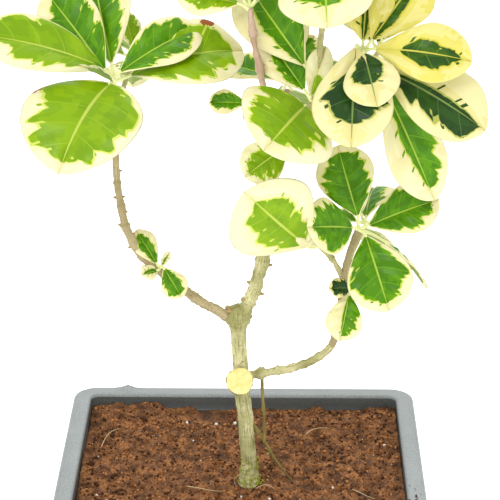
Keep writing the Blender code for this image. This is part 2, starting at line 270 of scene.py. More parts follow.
class Gathered:
    """Vertices with a map, faces of up to four corners and each face's finish, for one piece."""

    def __init__(self):
        self.points = []
        self.faces = []
        self.finishes = []
        self.maps = []
        self.count = 0
        self.names = []

    def finish_number(self, name):
        """The place of a finish among the piece's own, at the end if it is new."""
        if name not in self.names:
            self.names.append(name)
        return self.names.index(name)

    def add(self, points, faces, finishes, map_places=None):
        """Adds points (n, 3), faces (m, 4) that may repeat a corner, and a finish or an array of them."""
        points = np.asarray(points, float).reshape(-1, 3)
        faces = turned_outward(points, np.asarray(faces, int).reshape(-1, 4))
        if isinstance(finishes, str):
            numbers = np.full(len(faces), self.finish_number(finishes))
        else:
            numbers = np.asarray(finishes).reshape(-1)
        self.points.append(points)
        self.faces.append(faces + self.count)
        self.finishes.append(numbers)
        self.maps.append(np.zeros((len(points), 2)) if map_places is None else map_places)
        self.count += len(points)

    def make(self, name, nodes=()):
        """The mesh object: faces lose repeated corners, and it rides on the only body."""
        points = np.concatenate(self.points)
        faces = np.concatenate(self.faces)
        numbers = np.concatenate(self.finishes)
        kept = faces != np.roll(faces, 1, axis=1)
        sizes = kept.sum(axis=1)
        whole = sizes >= 3
        faces, kept, sizes, numbers = faces[whole], kept[whole], sizes[whole], numbers[whole]
        corners = faces[kept]
        mesh = bpy.data.meshes.new(name)
        mesh.vertices.add(len(points))
        mesh.vertices.foreach_set("co", points.astype(np.float32).ravel())
        mesh.loops.add(len(corners))
        mesh.loops.foreach_set("vertex_index", corners.astype(np.int32))
        mesh.polygons.add(len(sizes))
        starts = np.concatenate(([0], np.cumsum(sizes)[:-1]))
        mesh.polygons.foreach_set("loop_start", starts.astype(np.int32))
        for finish in self.names:
            mesh.materials.append(MATERIALS[finish])
        mesh.polygons.foreach_set("material_index", numbers.astype(np.int32))
        mesh.update(calc_edges=True)
        mesh.polygons.foreach_set("use_smooth", np.ones(len(sizes), bool))
        places = np.concatenate(self.maps)
        if places.any():
            layer = mesh.uv_layers.new(name="Along")
            layer.data.foreach_set("uv", places[corners].astype(np.float32).ravel())
        mesh.validate()
        obj = bpy.data.objects.new(name, mesh)
        bpy.context.scene.collection.objects.link(obj)
        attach(obj, "root")
        if nodes:
            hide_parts(*nodes)


def grid_faces(numbers):
    """Faces (m, 4) between neighbouring rows and columns of a grid of vertex numbers."""
    corners = (numbers[:-1, :-1], numbers[:-1, 1:], numbers[1:, 1:], numbers[1:, :-1])
    return np.stack(corners, axis=-1).reshape(-1, 4)


def closed_rings(rows, sides):
    """A grid of vertex numbers: rings that each end on their first point, between two poles.

    The poles come after all the rings' points: first the one before the first ring, then the one
    after the last.
    """
    numbers = np.arange(rows * sides).reshape(rows, sides)
    rings = np.concatenate((numbers, numbers[:, :1]), axis=1)
    first, last = (np.full((1, sides + 1), rows * sides + pole) for pole in (0, 1))
    return np.concatenate((first, rings, last))


# Materials

# Every finish by its name, filled by the finishes operator
MATERIALS = {}
SHINE = 0.15
COAT_ROUGHNESS = 0.15
CREAM_GLOSS = 0.6
SMALL_ROUGHNESS = 0.9
STALK_ROUGHNESS = 0.45
STALK_GLOSS = 0.15
# The noise levels between which the coarse and the fine mottle of a pattern go from none to full
COARSE_LEVELS = (0.38, 0.62)
FINE_LEVELS = (0.42, 0.66)
PATTERN_BUMP = 0.4 * MM
# The coarse and the fine scale of the plastic and of the soil, and the painted shade on the tray's inner
# walls: how dark their plastic is made
PLASTIC_SCALES = (60.0, 1500.0)
SOIL_SCALES = (150.0, 900.0)
INNER_SHADE = 0.34
# Bark: how its map is stretched, and the scale, levels and detail of its slow change of tone, its
# cracks and its specks
BARK_STRETCH = (9.0, 0.45, 1.0)
BARK_SLOW = (90.0, 0.36, 0.64, 2.0)
BARK_CRACKS = (2.4, 0.50, 0.72, 6.0)
BARK_SPECKS = (900.0, 0.56, 0.72, 3.0)
SPECK_SHADE = 0.6
BARK_ROUGHNESS = 0.75
BARK_BUMP = 0.3 * MM
# The patterned finishes that have no setting: their three colours, their scales, roughness and bump
WOOD_FINISHES = {
    "cut_wood": (((228, 216, 140), (232, 222, 154), (218, 202, 118)), (160.0, 420.0), 0.6, 0.15),
    "stub_bark": (((150, 118, 72), (186, 150, 104), (108, 80, 46)), (220.0, 700.0), 0.8, 0.5),
}
# The barks that have no setting: base, second tone and cracks
YOUNG_BARKS = {
    "bark_young": ((168, 170, 104), (198, 186, 140), (128, 112, 66)),
    "bark_pink": ((196, 168, 146), (176, 148, 118), (140, 104, 78)),
    "root_olive": ((150, 138, 66), (122, 104, 50), (84, 66, 34)),
}


def new_material(name):
    """A material with only a Principled shader, its node tree and that shader."""
    made = bpy.data.materials.new(name)
    made.use_nodes = True
    MATERIALS[name] = made
    return made.node_tree, made.node_tree.nodes["Principled BSDF"]


def set_inputs(node, **values):
    """Sets inputs by their names, with underscores for spaces."""
    for name, value in values.items():
        node.inputs[name.replace("_", " ")].default_value = value


def plain_material(name, colour, roughness, coat=0.0):
    """One plain colour with an even gloss, for faces whose colour has its place."""
    _, shader = new_material(name)
    set_inputs(
        shader, Base_Color=(*colour, 1.0), Roughness=roughness, Coat_Weight=coat,
        Coat_Roughness=COAT_ROUGHNESS, Specular_IOR_Level=SHINE,
    )


def mottle_group():
    """A shader group: noise on a vector, put out as it is and as a mask between two of its levels."""
    group = bpy.data.node_groups.get("Mottle")
    if group:
        return group
    group = bpy.data.node_groups.new("Mottle", "ShaderNodeTree")
    group.interface.new_socket("Vector", in_out="INPUT", socket_type="NodeSocketVector")
    for name in ("Scale", "Low", "High", "Detail"):
        group.interface.new_socket(name, in_out="INPUT", socket_type="NodeSocketFloat")
    for name in ("Mask", "Height"):
        group.interface.new_socket(name, in_out="OUTPUT", socket_type="NodeSocketFloat")
    kinds = ("NodeGroupInput", "NodeGroupOutput", "ShaderNodeTexNoise", "ShaderNodeMapRange")
    start, end, noise, spread = (group.nodes.new(kind) for kind in kinds)
    for giver, output, taker, entry in (
        (start, "Vector", noise, "Vector"), (start, "Scale", noise, "Scale"),
        (start, "Detail", noise, "Detail"), (noise, "Fac", spread, "Value"),
        (start, "Low", spread, "From Min"), (start, "High", spread, "From Max"),
        (spread, "Result", end, "Mask"), (noise, "Fac", end, "Height"),
    ):
        group.links.new(giver.outputs[output], taker.inputs[entry])
    return group


def add_mottle(tree, vector, scale, low, high, detail=4.0):
    """A node of the mottle group with its own values, fed by a vector."""
    node = tree.nodes.new("ShaderNodeGroup")
    node.node_tree = mottle_group()
    tree.links.new(vector, node.inputs["Vector"])
    set_inputs(node, Scale=scale, Low=low, High=high, Detail=detail)
    return node


def add_mix(tree, mask, first, second):
    """A colour mix: first where the mask is 0, second where it is 1. Each is a colour or a socket."""
    node = tree.nodes.new("ShaderNodeMix")
    node.data_type = "RGBA"
    tree.links.new(mask, node.inputs["Factor"])
    for name, value in (("A", first), ("B", second)):
        socket = next(s for s in node.inputs if s.name == name and s.type == "RGBA")
        if isinstance(value, bpy.types.NodeSocket):
            tree.links.new(value, socket)
        else:
            socket.default_value = (*value, 1.0)
    return next(s for s in node.outputs if s.type == "RGBA")


def finish_shader(tree, shader, colour, roughness, height, strength, distance):
    """Links a colour, and a bump of the given strength and distance, to the shader."""
    tree.links.new(colour, shader.inputs["Base Color"])
    bump = tree.nodes.new("ShaderNodeBump")
    set_inputs(bump, Strength=strength, Distance=distance)
    tree.links.new(height, bump.inputs["Height"])
    tree.links.new(bump.outputs["Normal"], shader.inputs["Normal"])
    set_inputs(shader, Roughness=roughness)


def patterned_material(name, colours, scales, roughness, bump):
    """Three colours mixed by a coarse and a fine mottle on Object coordinates, with a fine bump."""
    tree, shader = new_material(name)
    place = tree.nodes.new("ShaderNodeTexCoord").outputs["Object"]
    coarse = add_mottle(tree, place, scales[0], *COARSE_LEVELS)
    fine = add_mottle(tree, place, scales[1], *FINE_LEVELS)
    blend = add_mix(tree, coarse.outputs["Mask"], colours[0], colours[1])
    colour = add_mix(tree, fine.outputs["Mask"], blend, colours[2])
    finish_shader(tree, shader, colour, roughness, fine.outputs["Height"], bump, PATTERN_BUMP)


def bark_material(name, base, second, fissure):
    """Bark: long fine cracks along the limb, read from its own map, over a slow change of tone."""
    tree, shader = new_material(name)
    place = tree.nodes.new("ShaderNodeTexCoord").outputs["Object"]
    along = tree.nodes.new("ShaderNodeUVMap")
    along.uv_map = "Along"
    stretch = tree.nodes.new("ShaderNodeMapping")
    set_inputs(stretch, Scale=BARK_STRETCH)
    tree.links.new(along.outputs["UV"], stretch.inputs["Vector"])
    slow = add_mottle(tree, place, *BARK_SLOW)
    cracks = add_mottle(tree, stretch.outputs["Vector"], *BARK_CRACKS)
    specks = add_mottle(tree, place, *BARK_SPECKS)
    blend = add_mix(tree, slow.outputs["Mask"], base, second)
    cracked = add_mix(tree, cracks.outputs["Mask"], blend, fissure)
    colour = add_mix(tree, specks.outputs["Mask"], cracked, tuple(SPECK_SHADE * v for v in base))
    finish_shader(tree, shader, colour, BARK_ROUGHNESS, cracks.outputs["Height"], 0.5, BARK_BUMP)


class COPROSMA_OT_finishes(bpy.types.Operator):
    """Mix the finishes of the leaves, the bark, the tray and the soil"""

    bl_idname = "coprosma.finishes"
    bl_label = "Finishes"

    def execute(self, context):
        scene = context.scene
        leaf, bark = scene.coprosma_leaf, scene.coprosma_bark
        tray, soil = scene.coprosma_tray, scene.coprosma_soil
        for palette, tones in PALETTES.items():
            for tone, colour in tones.items():
                gloss = leaf.gloss if tone in GREENS else CREAM_GLOSS * leaf.gloss
                plain_material(f"{palette}_{tone}", srgb(*colour), leaf.roughness, gloss)
        for name, (colour, roughness) in LEAF_EXTRAS.items():
            plain_material(name, srgb(*colour), roughness)
        plain_material("petiole", leaf.petiole_colour, STALK_ROUGHNESS, STALK_GLOSS)
        for name, colour in SMALL_FINISHES.items():
            plain_material(name, srgb(*colour), SMALL_ROUGHNESS)
        bark_material("bark_olive", bark.olive, srgb(208, 202, 150), bark.fissure)
        bark_material("bark_beige", bark.beige, srgb(160, 146, 104), bark.fissure)
        for name, colours in YOUNG_BARKS.items():
            bark_material(name, *(srgb(*colour) for colour in colours))
        for name, (colours, *rest) in WOOD_FINISHES.items():
            patterned_material(name, [srgb(*colour) for colour in colours], *rest)
        # The inner walls take a darker copy of the same plastic: painted shade, as in a recess
        for name, shade in (("plastic", 1.0), ("plastic_painted_shade", INNER_SHADE)):
            plastic = [shade * v for v in tray.colour]
            darker = [0.86 * v for v in plastic]
            paler = [min(1.0, 1.25 * v + 0.01) for v in plastic]
            patterned_material(name, (plastic, darker, paler), PLASTIC_SCALES, tray.roughness, 0.12)
        patterned_material("soil", (soil.dark, soil.light, srgb(104, 66, 38)), SOIL_SCALES, 0.95, 0.6)
        return {"FINISHED"}


# Leaves

# The leaf grid: rows from base to tip, and columns of each half from the midrib out. The rib, the
# rim and the least green and cream are shares of the half blade, and the veins' places and half
# width are shares of the length.
BLADE_ROWS = 56
GREEN_COLUMNS = 5
CREAM_COLUMNS = 4
RIB_HALF = 0.028
RIM_SHARE = 0.965
LEAST_GREEN = 0.02
LEAST_CREAM = 0.06
SIDE_VEINS = 4
FIRST_VEIN, LAST_VEIN = 0.14, 0.76
VEIN_HALF = 0.0032
# Even rows nearer to a vein than this many of its half widths are left out
VEIN_ROOM = 2.2
# The powers that round the blade's tip and narrow its base
ROUNDNESS = 0.62
NARROWING = 0.12
# The green: how far it fades in and out along the blade, its limit, and its fingers, each with how
# often they come along the blade, their lane in the noise and their depth
GREEN_RISE = 0.16
GREEN_FALL = 0.14
GREEN_LIMIT = 0.93
FINGERS = ((4.0, 0.0, 0.22), (15.0, 3.0, 0.20), (40.0, 9.0, 0.12))
RIGHT_SEED = 31.0
# The powers that space the rows along the midrib and along the edge, and that sweep them between
MIDRIB_POWER = 1.15
EDGE_POWER = 1.5
SWEEP_POWER = 1.2
# The midrib's groove in millimetres, where an edge starts to bend down and how far it goes on, the
# waves of an edge and how they shift from leaf to leaf, and the share that isn't twisted
GROOVE_DEPTH = 0.5
GROOVE_HALF = 0.9
BEND_FROM = 0.55
BEND_OVER = 0.45
EDGE_WAVES = 2.3
WAVE_STEP = 0.37
TWIST_FROM = 0.3
# Added to a bend in radians, so that the arc's radius is never divided by nothing
LEAST_BEND = 1e-4
# Rounds the fold at the midrib, in square millimetres
FOLD_ROUNDING = 0.04
# The power by which a blade thins towards its edge
EDGE_THINNING = 6
# The tones: how many cells of their slow noise lie along and across a blade, how much finer the
# flecks' noise is, the reach from which green shows, the noise levels that choose among the tones,
# and where the midrib turns to cream
TONE_CELLS = (7.0, 3.5, 1.0)
SPECK_FINENESS = (5.0, 4.0, 1.0)
GREEN_SHOWS = RIB_HALF + 0.03
LIGHT_ABOVE, DEEP_BELOW, WARM_ABOVE, FLECK_ABOVE = 0.35, -0.3, 0.3, 0.62
VEIN_END = 0.93
# Leaf stalks: the radius at the shoot and at the blade, the steps and sides of the tube, and the
# share of a rosette leaf's length that is its stalk
STALK_RADII = (0.95, 0.6)
STALK_STEPS = 14
STALK_SIDES = 8
STALK_SHARE = 0.14


def vein_places():
    """Where the side veins leave the midrib, left and right in turn."""
    return np.linspace(FIRST_VEIN, LAST_VEIN, 2 * SIDE_VEINS)


def blade_rows():
    """Row places from base to tip: an even run, and two close rows at each side vein."""
    even = np.linspace(0.0, 1.0, BLADE_ROWS)
    veins = vein_places()
    near = np.abs(even[:, None] - veins).min(axis=1) < VEIN_ROOM * VEIN_HALF
    return np.sort(np.concatenate((even[~near], veins - VEIN_HALF, veins + VEIN_HALF)))


def blade_width(share, widest):
    """Half width at a share of the length, at most 1.

    It is a sine over a power of the share, raised to the roundness, times the share raised to the
    narrowing, all divided by its own highest value.
    """
    power = math.log(0.5) / math.log(widest)

    def raw(value):
        value = np.clip(value, 0.0, 1.0)
        return np.abs(np.sin(math.pi * value**power)) ** ROUNDNESS * value**NARROWING

    return raw(share) / raw(np.linspace(0.0, 1.0, 201)).max()


def green_reach(rows, share, leaf, seed):
    """How far the green goes from midrib to edge in each row.

    It is a share of the half blade times one plus the fingers' noises, faded in near the base and
    out near the tip.
    """
    rise = np.clip((rows - leaf["green_from"]) / GREEN_RISE, 0.0, 1.0)
    fall = np.clip((leaf["green_to"] - rows) / GREEN_FALL, 0.0, 1.0)
    fingers = 1.0
    for often, lane, depth in FINGERS:
        fingers = fingers + depth * line_noise(rows * often, seed, lane)
    return np.clip(share * fingers, 0.0, GREEN_LIMIT) * np.sqrt(rise * fall)


def half_columns(reach, lime):
    """Column places of one half for each row: the rib, the green, the lime band, the cream, the rim."""
    reach = np.clip(reach, RIB_HALF + LEAST_GREEN, RIM_SHARE - LEAST_CREAM)[:, None]
    band = np.minimum(lime, 0.5 * (RIM_SHARE - reach))
    green = RIB_HALF + (reach - RIB_HALF) * np.linspace(0.0, 1.0, GREEN_COLUMNS + 1)
    cream = reach + band + (RIM_SHARE - reach - band) * np.linspace(0.0, 1.0, CREAM_COLUMNS + 1)
    zero = np.zeros_like(reach)
    return np.concatenate((zero, green, cream, zero + 1.0), axis=1)


def leaf_axes(leaf):
    """The leaf's base and tip, and unit vectors along it, out of its upper face and to its right."""
    base, tip, face = (np.array(leaf[key], float) for key in ("base", "tip", "face"))
    along = unit(tip - base)
    out = unit(face - along * (face @ along))
    return base, tip, along, out, np.cross(along, out)


def blade_places(leaf, rows, columns):
    """Points and normals of the upper face for a grid of rows and signed columns.

    A row runs from the midrib forward to the edge, like a side vein. The midrib is an arc through
    the base and the tip. Each half rises by the fold, and its edge bends back down. The face is
    quilted between the veins, has a groove at the midrib and waves at its edge.
    """
    base, tip, along, out, across = leaf_axes(leaf)
    chord = np.linalg.norm(tip - base)
    q = rows[:, None]
    c = np.abs(columns)
    side = np.sign(columns)
    at_midrib = q**MIDRIB_POWER
    at_edge = 1.0 - (1.0 - q) ** EDGE_POWER
    share = at_midrib + (at_edge - at_midrib) * c**SWEEP_POWER
    half = leaf["width"] / 2 * blade_width(at_edge, leaf["widest"])
    x = c * half
    bend = math.radians(leaf["bend"]) + LEAST_BEND
    arc = chord * (bend / 2) / math.sin(bend / 2)
    angle = bend / 2 - bend * share
    forward = arc / bend * (math.sin(bend / 2) - np.sin(angle))
    rise = arc / bend * (np.cos(angle) - math.cos(bend / 2))
    fold = np.radians(np.where(side < 0, leaf["fold_left"], leaf["fold_right"]))
    veins = vein_places()
    phase = np.interp(rows, veins, np.arange(len(veins)) / 2.0)[:, None]
    quilt = leaf["quilt"] * (0.5 - 0.5 * np.cos(2.0 * math.pi * phase)) * np.sin(math.pi * c)
    groove = GROOVE_DEPTH * np.exp(-((x / GROOVE_HALF) ** 2))
    edge = np.clip((c - BEND_FROM) / BEND_OVER, 0.0, 1.0)
    waves = EDGE_WAVES * q + WAVE_STEP * leaf["seed"]
    wave = leaf["wave"] * c**2 * np.sin(2.0 * math.pi * waves + side)
    lift = np.sqrt((x * np.tan(fold)) ** 2 + FOLD_ROUNDING) * np.sign(fold)
    height = lift + quilt - groove - leaf["recurve"] * half * edge**2 + wave
    twist = math.radians(leaf["twist"]) * (share - TWIST_FROM)
    flat = side * x * np.cos(twist) - height * np.sin(twist)
    tall = side * x * np.sin(twist) + height * np.cos(twist)
    normal = np.cos(angle)[..., None] * out - np.sin(angle)[..., None] * along
    places = base + forward[..., None] * along + rise[..., None] * out
    return places + flat[..., None] * across + tall[..., None] * normal, normal


def blade_tones(leaf, rows, columns, reaches):
    """The tone of each face of the upper side.

    A slow noise chooses among the greens and the creams, a quick one puts flecks near the green's
    edge, and the veins have their own columns and rows.
    """
    halves = GREEN_COLUMNS + CREAM_COLUMNS + 3
    part = np.concatenate((np.arange(halves)[::-1], np.arange(halves)))
    on_left = np.arange(2 * halves) < halves
    middle = ((rows[:-1] + rows[1:]) / 2)[:, None]
    centre = (columns[:-1, :-1] + columns[:-1, 1:] + columns[1:, :-1] + columns[1:, 1:]) / 4
    place = np.stack(np.broadcast_arrays(middle, centre, 0.0), -1) * TONE_CELLS
    slow = lattice_noise(place, leaf["seed"]) + 0.45 * lattice_noise(place * 3.1, leaf["seed"] + 2.0)
    speck = lattice_noise(place * SPECK_FINENESS, leaf["seed"] + 5.0)
    reach = np.where(on_left, reaches[0][:, None], reaches[1][:, None])
    has_green = (reach[:-1] + reach[1:]) / 2 > GREEN_SHOWS
    apart = np.abs(middle - vein_places())
    in_vein = (apart.min(axis=1) < VEIN_HALF)[:, None]
    vein_on_left = (apart.argmin(axis=1) % 2 == 0)[:, None]
    green = np.select([slow > LIGHT_ABOVE, slow < DEEP_BELOW], ["light", "deep"], "mid")
    green = np.where((part >= GREEN_COLUMNS - 1) & (speck > leaf["flecks"]), "lime", green)
    green = np.where(in_vein & (vein_on_left == on_left), "side", green)
    near = part <= GREEN_COLUMNS + 2
    cream = np.where(near | (slow > WARM_ABOVE), "warm", "pale")
    cream = np.where(near & has_green & (speck > FLECK_ABOVE), "light", cream)
    lime_column = GREEN_COLUMNS + 1
    return np.select(
        [part == 0, part < lime_column, part == lime_column, part <= lime_column + CREAM_COLUMNS],
        [
            np.where(middle < VEIN_END, "vein", "warm"), np.where(has_green, green, "warm"),
            np.where(has_green, "lime", "warm"), cream,
        ],
        "pale",
    )


def add_leaf(bag, leaf, thickness):
    """One closed blade: an upper grid, a lower grid that shares its edge and ends, and their tones."""
    rows = blade_rows()
    seeds = leaf["seed"], leaf["seed"] + RIGHT_SEED
    reaches = [green_reach(rows, share, leaf, seed) for share, seed in zip(leaf["green"], seeds)]
    left_half, right_half = (half_columns(reach, leaf["lime"]) for reach in reaches)
    columns = np.concatenate((-left_half[:, ::-1], right_half[:, 1:]), axis=1)
    upper, normal = blade_places(leaf, rows, columns)
    lower = upper - (thickness * (1.0 - np.abs(columns) ** EDGE_THINNING)[..., None]) * normal
    numbers = np.arange(columns.size).reshape(columns.shape)
    numbers[0, :] = numbers[0, 0]
    numbers[-1, :] = numbers[-1, 0]
    under = numbers + columns.size
    for shared in (np.s_[:, 0], np.s_[:, -1], np.s_[0, :], np.s_[-1, :]):
        under[shared] = numbers[shared]
    used, renumbered = np.unique(np.stack((numbers, under)), return_inverse=True)
    numbers, under = renumbered.reshape(2, *columns.shape)
    tones = blade_tones(leaf, rows, columns, reaches)
    top = np.zeros(tones.shape, int)
    for tone in PALETTES[leaf["palette"]]:
        top[tones == tone] = bag.finish_number(f"{leaf['palette']}_{tone}")
    if leaf["burnt"]:
        at_row, at_side, size = leaf["burnt"]
        middle_row = (rows[:-1, None] + rows[1:, None]) / 2
        middle_column = (columns[:-1, :-1] + columns[1:, 1:]) / 2
        near = ((middle_row - at_row) / size) ** 2 + ((middle_column - at_side) / (2 * size)) ** 2 < 1
        top = np.where(near, bag.finish_number("burnt"), top)
    is_green = np.isin(tones, (*GREENS, "vein"))
    below = np.where(is_green, bag.finish_number("under_green"), bag.finish_number("under_cream"))
    points = np.concatenate((upper.reshape(-1, 3), lower.reshape(-1, 3))) * MM
    faces = np.concatenate((grid_faces(numbers)[:, ::-1], grid_faces(under)))
    bag.add(points[used], faces, np.concatenate((top.ravel(), below.ravel())))


def leaf_of(name, base, tip, face, width, **changes):
    """A leaf's sizes in millimetres and degrees, with the usual values for those not given.

    green holds the green's share of the left and of the right half, and burnt a burnt spot's row,
    column and size. Places along the blade are shares of its length.
    """
    leaf = dict(
        base=base, tip=tip, face=face, width=width, palette="fresh", widest=0.6, bend=30.0,
        fold_left=12.0, fold_right=12.0, recurve=0.16, wave=0.4, quilt=0.5, twist=0.0,
        green=(0.62, 0.62), green_from=0.02, green_to=0.9, lime=0.05, flecks=0.75, burnt=None,
        seed=name_number(name) % 97 + 1.0,
    )
    leaf.update(changes)
    return leaf


# The leaves that the photograph shows, cluster by cluster, each with the point on its shoot that
# its stalk leaves from
CLUSTERS = {
    "foliage_left_crown": dict(joint=(-52.4, -13, 237), leaves=(
        leaf_of("l1", (-54, -12, 242), (-106, -22, 260), (0.1, -0.62, 0.78), 27, palette="bright",
                green=(0.62, 0.78), bend=35, green_to=0.97),
        leaf_of("l2", (-55, -14, 242), (-80, 1, 271), (0.15, -0.85, 0.50), 26, green=(0.55, 0.85), bend=20),
        leaf_of("l3", (-53, -9, 243), (-62, 14, 277), (0.0, -0.95, 0.25), 27, green=(0.60, 0.62), bend=20),
        leaf_of("l4", (-50, -13, 241), (-17, 6, 255), (-0.30, -0.72, 0.62), 24, green=(0.75, 0.68),
                bend=30),
        leaf_of("l5", (-46, -8, 238), (1, 5, 245), (-0.1, -0.66, 0.75), 33, palette="bright",
                green=(0.62, 0.66), bend=55, burnt=(0.62, -0.9, 0.06)),
        leaf_of("l6", (-53, -17, 238), (-72, -51, 211), (-0.22, -0.58, 0.80), 54, palette="bright",
                green=(0.84, 0.80), bend=50, burnt=(0.24, 0.97, 0.05), widest=0.45),
        leaf_of("l2b", (-51, -16, 238), (-67, -20, 246), (-0.25, 0.35, 0.90), 12, green=(0.5, 0.5)),
    )),
    "foliage_left_sprout": dict(joint=(-35, -13, 153), leaves=(
        leaf_of("b1", (-35.5, -14, 155), (-45, -9, 169), (0.3, -0.85, 0.4), 11, green=(0.6, 0.5)),
        leaf_of("b2", (-33, -14, 154), (-25, -19, 142), (-0.1, -0.85, 0.5), 12, green=(0.6, 0.6)),
        leaf_of("b3", (-35, -15, 153), (-42, -20, 153), (0.1, -0.6, 0.8), 8, green=(0.3, 0.3)),
        leaf_of("b4", (-34, -14, 154), (-30, -14, 161), (-0.3, -0.8, 0.5), 4, green=(0.2, 0.2)),
    )),
    "foliage_side_leaf": dict(joint=(11.5, -12, 226), leaves=(
        leaf_of("s1", (3, -10, 227), (-13, -9, 227), (0.0, -0.8, 0.6), 11, green=(0.6, 0.6),
                green_to=0.97),
    )),
    "foliage_centre": dict(joint=(30, -15, 229), leaves=(
        leaf_of("c1", (27, -10, 243), (1, 2, 277), (0.0, -0.97, 0.20), 28, green=(0.38, 0.75), bend=20),
        leaf_of("c2", (27, -12, 233), (10, -2, 254), (0.1, -0.90, 0.40), 20, green=(0.45, 0.80), bend=20),
        leaf_of("c3", (29, -15, 231), (35, -10, 252), (-0.1, -0.97, 0.2), 11, green=(0.1, 0.6),
                palette="bright", green_to=0.5),
    )),
    "foliage_middle_upper": dict(joint=(27, -15, 225), leaves=(
        leaf_of("m1", (27, -18, 229), (10, -45, 219), (0.36, -0.55, 0.76), 44, palette="bright",
                green=(0.72, 0.82), bend=45, widest=0.5, green_to=0.84),
        leaf_of("m2", (20, -15, 210), (2, -23, 199), (0.2, -0.6, 0.8), 20, palette="bright",
                green=(0.8, 0.5)),
        leaf_of("m4b", (28, -15, 219), (37, -20, 227), (-0.1, -0.8, 0.56), 10, green=(0.8, 0.8),
                flecks=2.0),
    )),
    "foliage_middle_lower": dict(joint=(33.5, -21, 167), leaves=(
        leaf_of("m3", (29, -22, 167), (2, -34, 197), (-0.2, -0.88, 0.35), 40, palette="bright",
                green=(0.50, 0.48), bend=25, green_to=0.85, green_from=0.12),
        leaf_of("m4", (36, -18, 167), (27, -22, 181), (0.2, -0.9, 0.3), 20, green=(0.0, 0.0)),
    )),
    "foliage_right_rosette": dict(joint=(50, -14, 172), leaves=(
        leaf_of("d1", (50, -13, 177), (41, -3, 206), (-0.1, -0.97, 0.2), 25, green=(0.84, 0.84), bend=20),
        leaf_of("d2", (48, -17, 174), (28, -31, 180), (0.1, -0.80, 0.6), 25, green=(0.80, 0.82), bend=30),
        leaf_of("d3", (54, -15, 174), (84, -14, 186), (-0.3, -0.80, 0.50), 22, green=(0.72, 0.72), bend=35),
        leaf_of("d4", (53, -17, 171), (63, -36, 144), (-0.1, -0.75, 0.66), 28, green=(0.68, 0.82), bend=35),
        leaf_of("d5", (62, -11, 165), (81, -6, 141), (0.75, 0.2, 0.6), 13, green=(0.6, 0.6), bend=20),
    )),
    "foliage_right_sprig": dict(joint=(44.5, -13.5, 145), leaves=(
        leaf_of("d6", (48, -15, 145), (38, -20, 147), (0.0, -0.8, 0.6), 9, green=(0.8, 0.8),
                palette="deep"),
        leaf_of("d7", (47, -15, 143), (43, -24, 124), (0.0, -0.92, 0.35), 16, green=(0.75, 0.1)),
    )),
    "foliage_right_crown": dict(joint=(50, -19.5, 252), leaves=(
        leaf_of("r1", (50, -24, 254), (55, -45, 238), (-0.1, -0.70, 0.7), 23, palette="deep",
                green=(0.50, 0.55), green_to=0.66, bend=35),
        leaf_of("r2", (53, -20, 257), (74, 1, 280), (-0.2, -0.93, 0.3), 27, palette="gold",
                green=(0.12, 0.25), bend=20),
        leaf_of("r2b", (50, -18, 256), (52, -3, 281), (0.0, -0.98, 0.1), 24, palette="gold",
                green=(0.14, 0.16), bend=15),
        leaf_of("r3", (54, -23, 255), (93, -33, 253), (-0.05, -0.75, 0.66), 26, palette="gold",
                green=(0.38, 0.50), green_from=0.33, bend=35),
        leaf_of("r4", (57, -24, 247), (99, -39, 226), (0.15, -0.78, 0.6), 31, palette="deep",
                green=(0.12, 0.62), bend=35, green_to=0.95),
        leaf_of("r5", (58, -19, 240), (81, -25, 190), (0.2, -0.92, 0.3), 25, palette="fresh",
                green=(0.78, 0.25), bend=20),
        leaf_of("c5", (47, -22, 256), (45, -46, 221), (-0.12, -0.82, 0.55), 33, palette="deep",
                green=(0.60, 0.60), green_to=0.80, green_from=0.30, bend=30),
    )),
    "foliage_top_right": dict(joint=(33, -10, 283), leaves=(
        leaf_of("c4", (34, -14, 288), (35, -35, 267), (-0.1, -0.70, 0.7), 38, palette="fresh",
                green=(0.42, 0.5), green_to=0.72, bend=45),
        leaf_of("c4b", (38, -12, 288), (58, -18, 278), (0.1, -0.6, 0.8), 16, palette="bright",
                green=(0.5, 0.5)),
    )),
    "foliage_top_left": dict(joint=(4.5, -12, 267), leaves=(
        leaf_of("c0", (0, -11, 270), (-26, -12, 275), (0.0, -0.8, 0.6), 18, palette="bright",
                green=(0.7, 0.7)),
    )),
}

# The rosettes that the photograph hides or crops: the end of the shoot, the palette, and each
# leaf's heading and rise in degrees, its length and its width
ROSETTES = {
    "foliage_left_back": dict(at=(-45, 15, 239), palette="bright", leaves=(
        (104, -6, 34, 22), (152, 0, 34, 24), (48, -22, 32, 20), (100, -48, 26, 22), (120, 60, 20, 12))),
    "foliage_top_left": dict(at=(4, -10, 268), palette="bright", leaves=(
        (92, 40, 38, 22), (118, 80, 30, 18), (60, 15, 32, 20), (0, 55, 24, 14), (200, 50, 26, 15))),
    "foliage_top_right": dict(at=(33, -9, 284), palette="fresh", leaves=(
        (10, 20, 38, 22), (88, 14, 42, 24), (150, 30, 36, 22), (60, 66, 30, 20), (-30, 48, 28, 18),
        (170, 60, 24, 15), (-100, 62, 26, 16))),
    "foliage_right_back": dict(at=(58, 16, 242), palette="deep", leaves=(
        (84, 10, 38, 24), (20, 4, 36, 24), (50, 52, 30, 20), (100, -48, 34, 24), (28, -50, 32, 22),
        (130, 40, 26, 16))),
    "foliage_back_centre": dict(at=(20, 29, 223), palette="fresh", leaves=(
        (90, 8, 42, 26), (150, 4, 36, 24), (30, 0, 34, 24), (100, 56, 34, 22), (122, -44, 36, 24),
        (60, -52, 34, 24), (40, 50, 24, 15))),
    "foliage_right_low_back": dict(at=(54, 10, 165), palette="fresh", leaves=(
        (80, 6, 34, 22), (30, -8, 30, 20), (60, -52, 28, 20), (120, 44, 28, 18), (140, -10, 26, 16))),
}


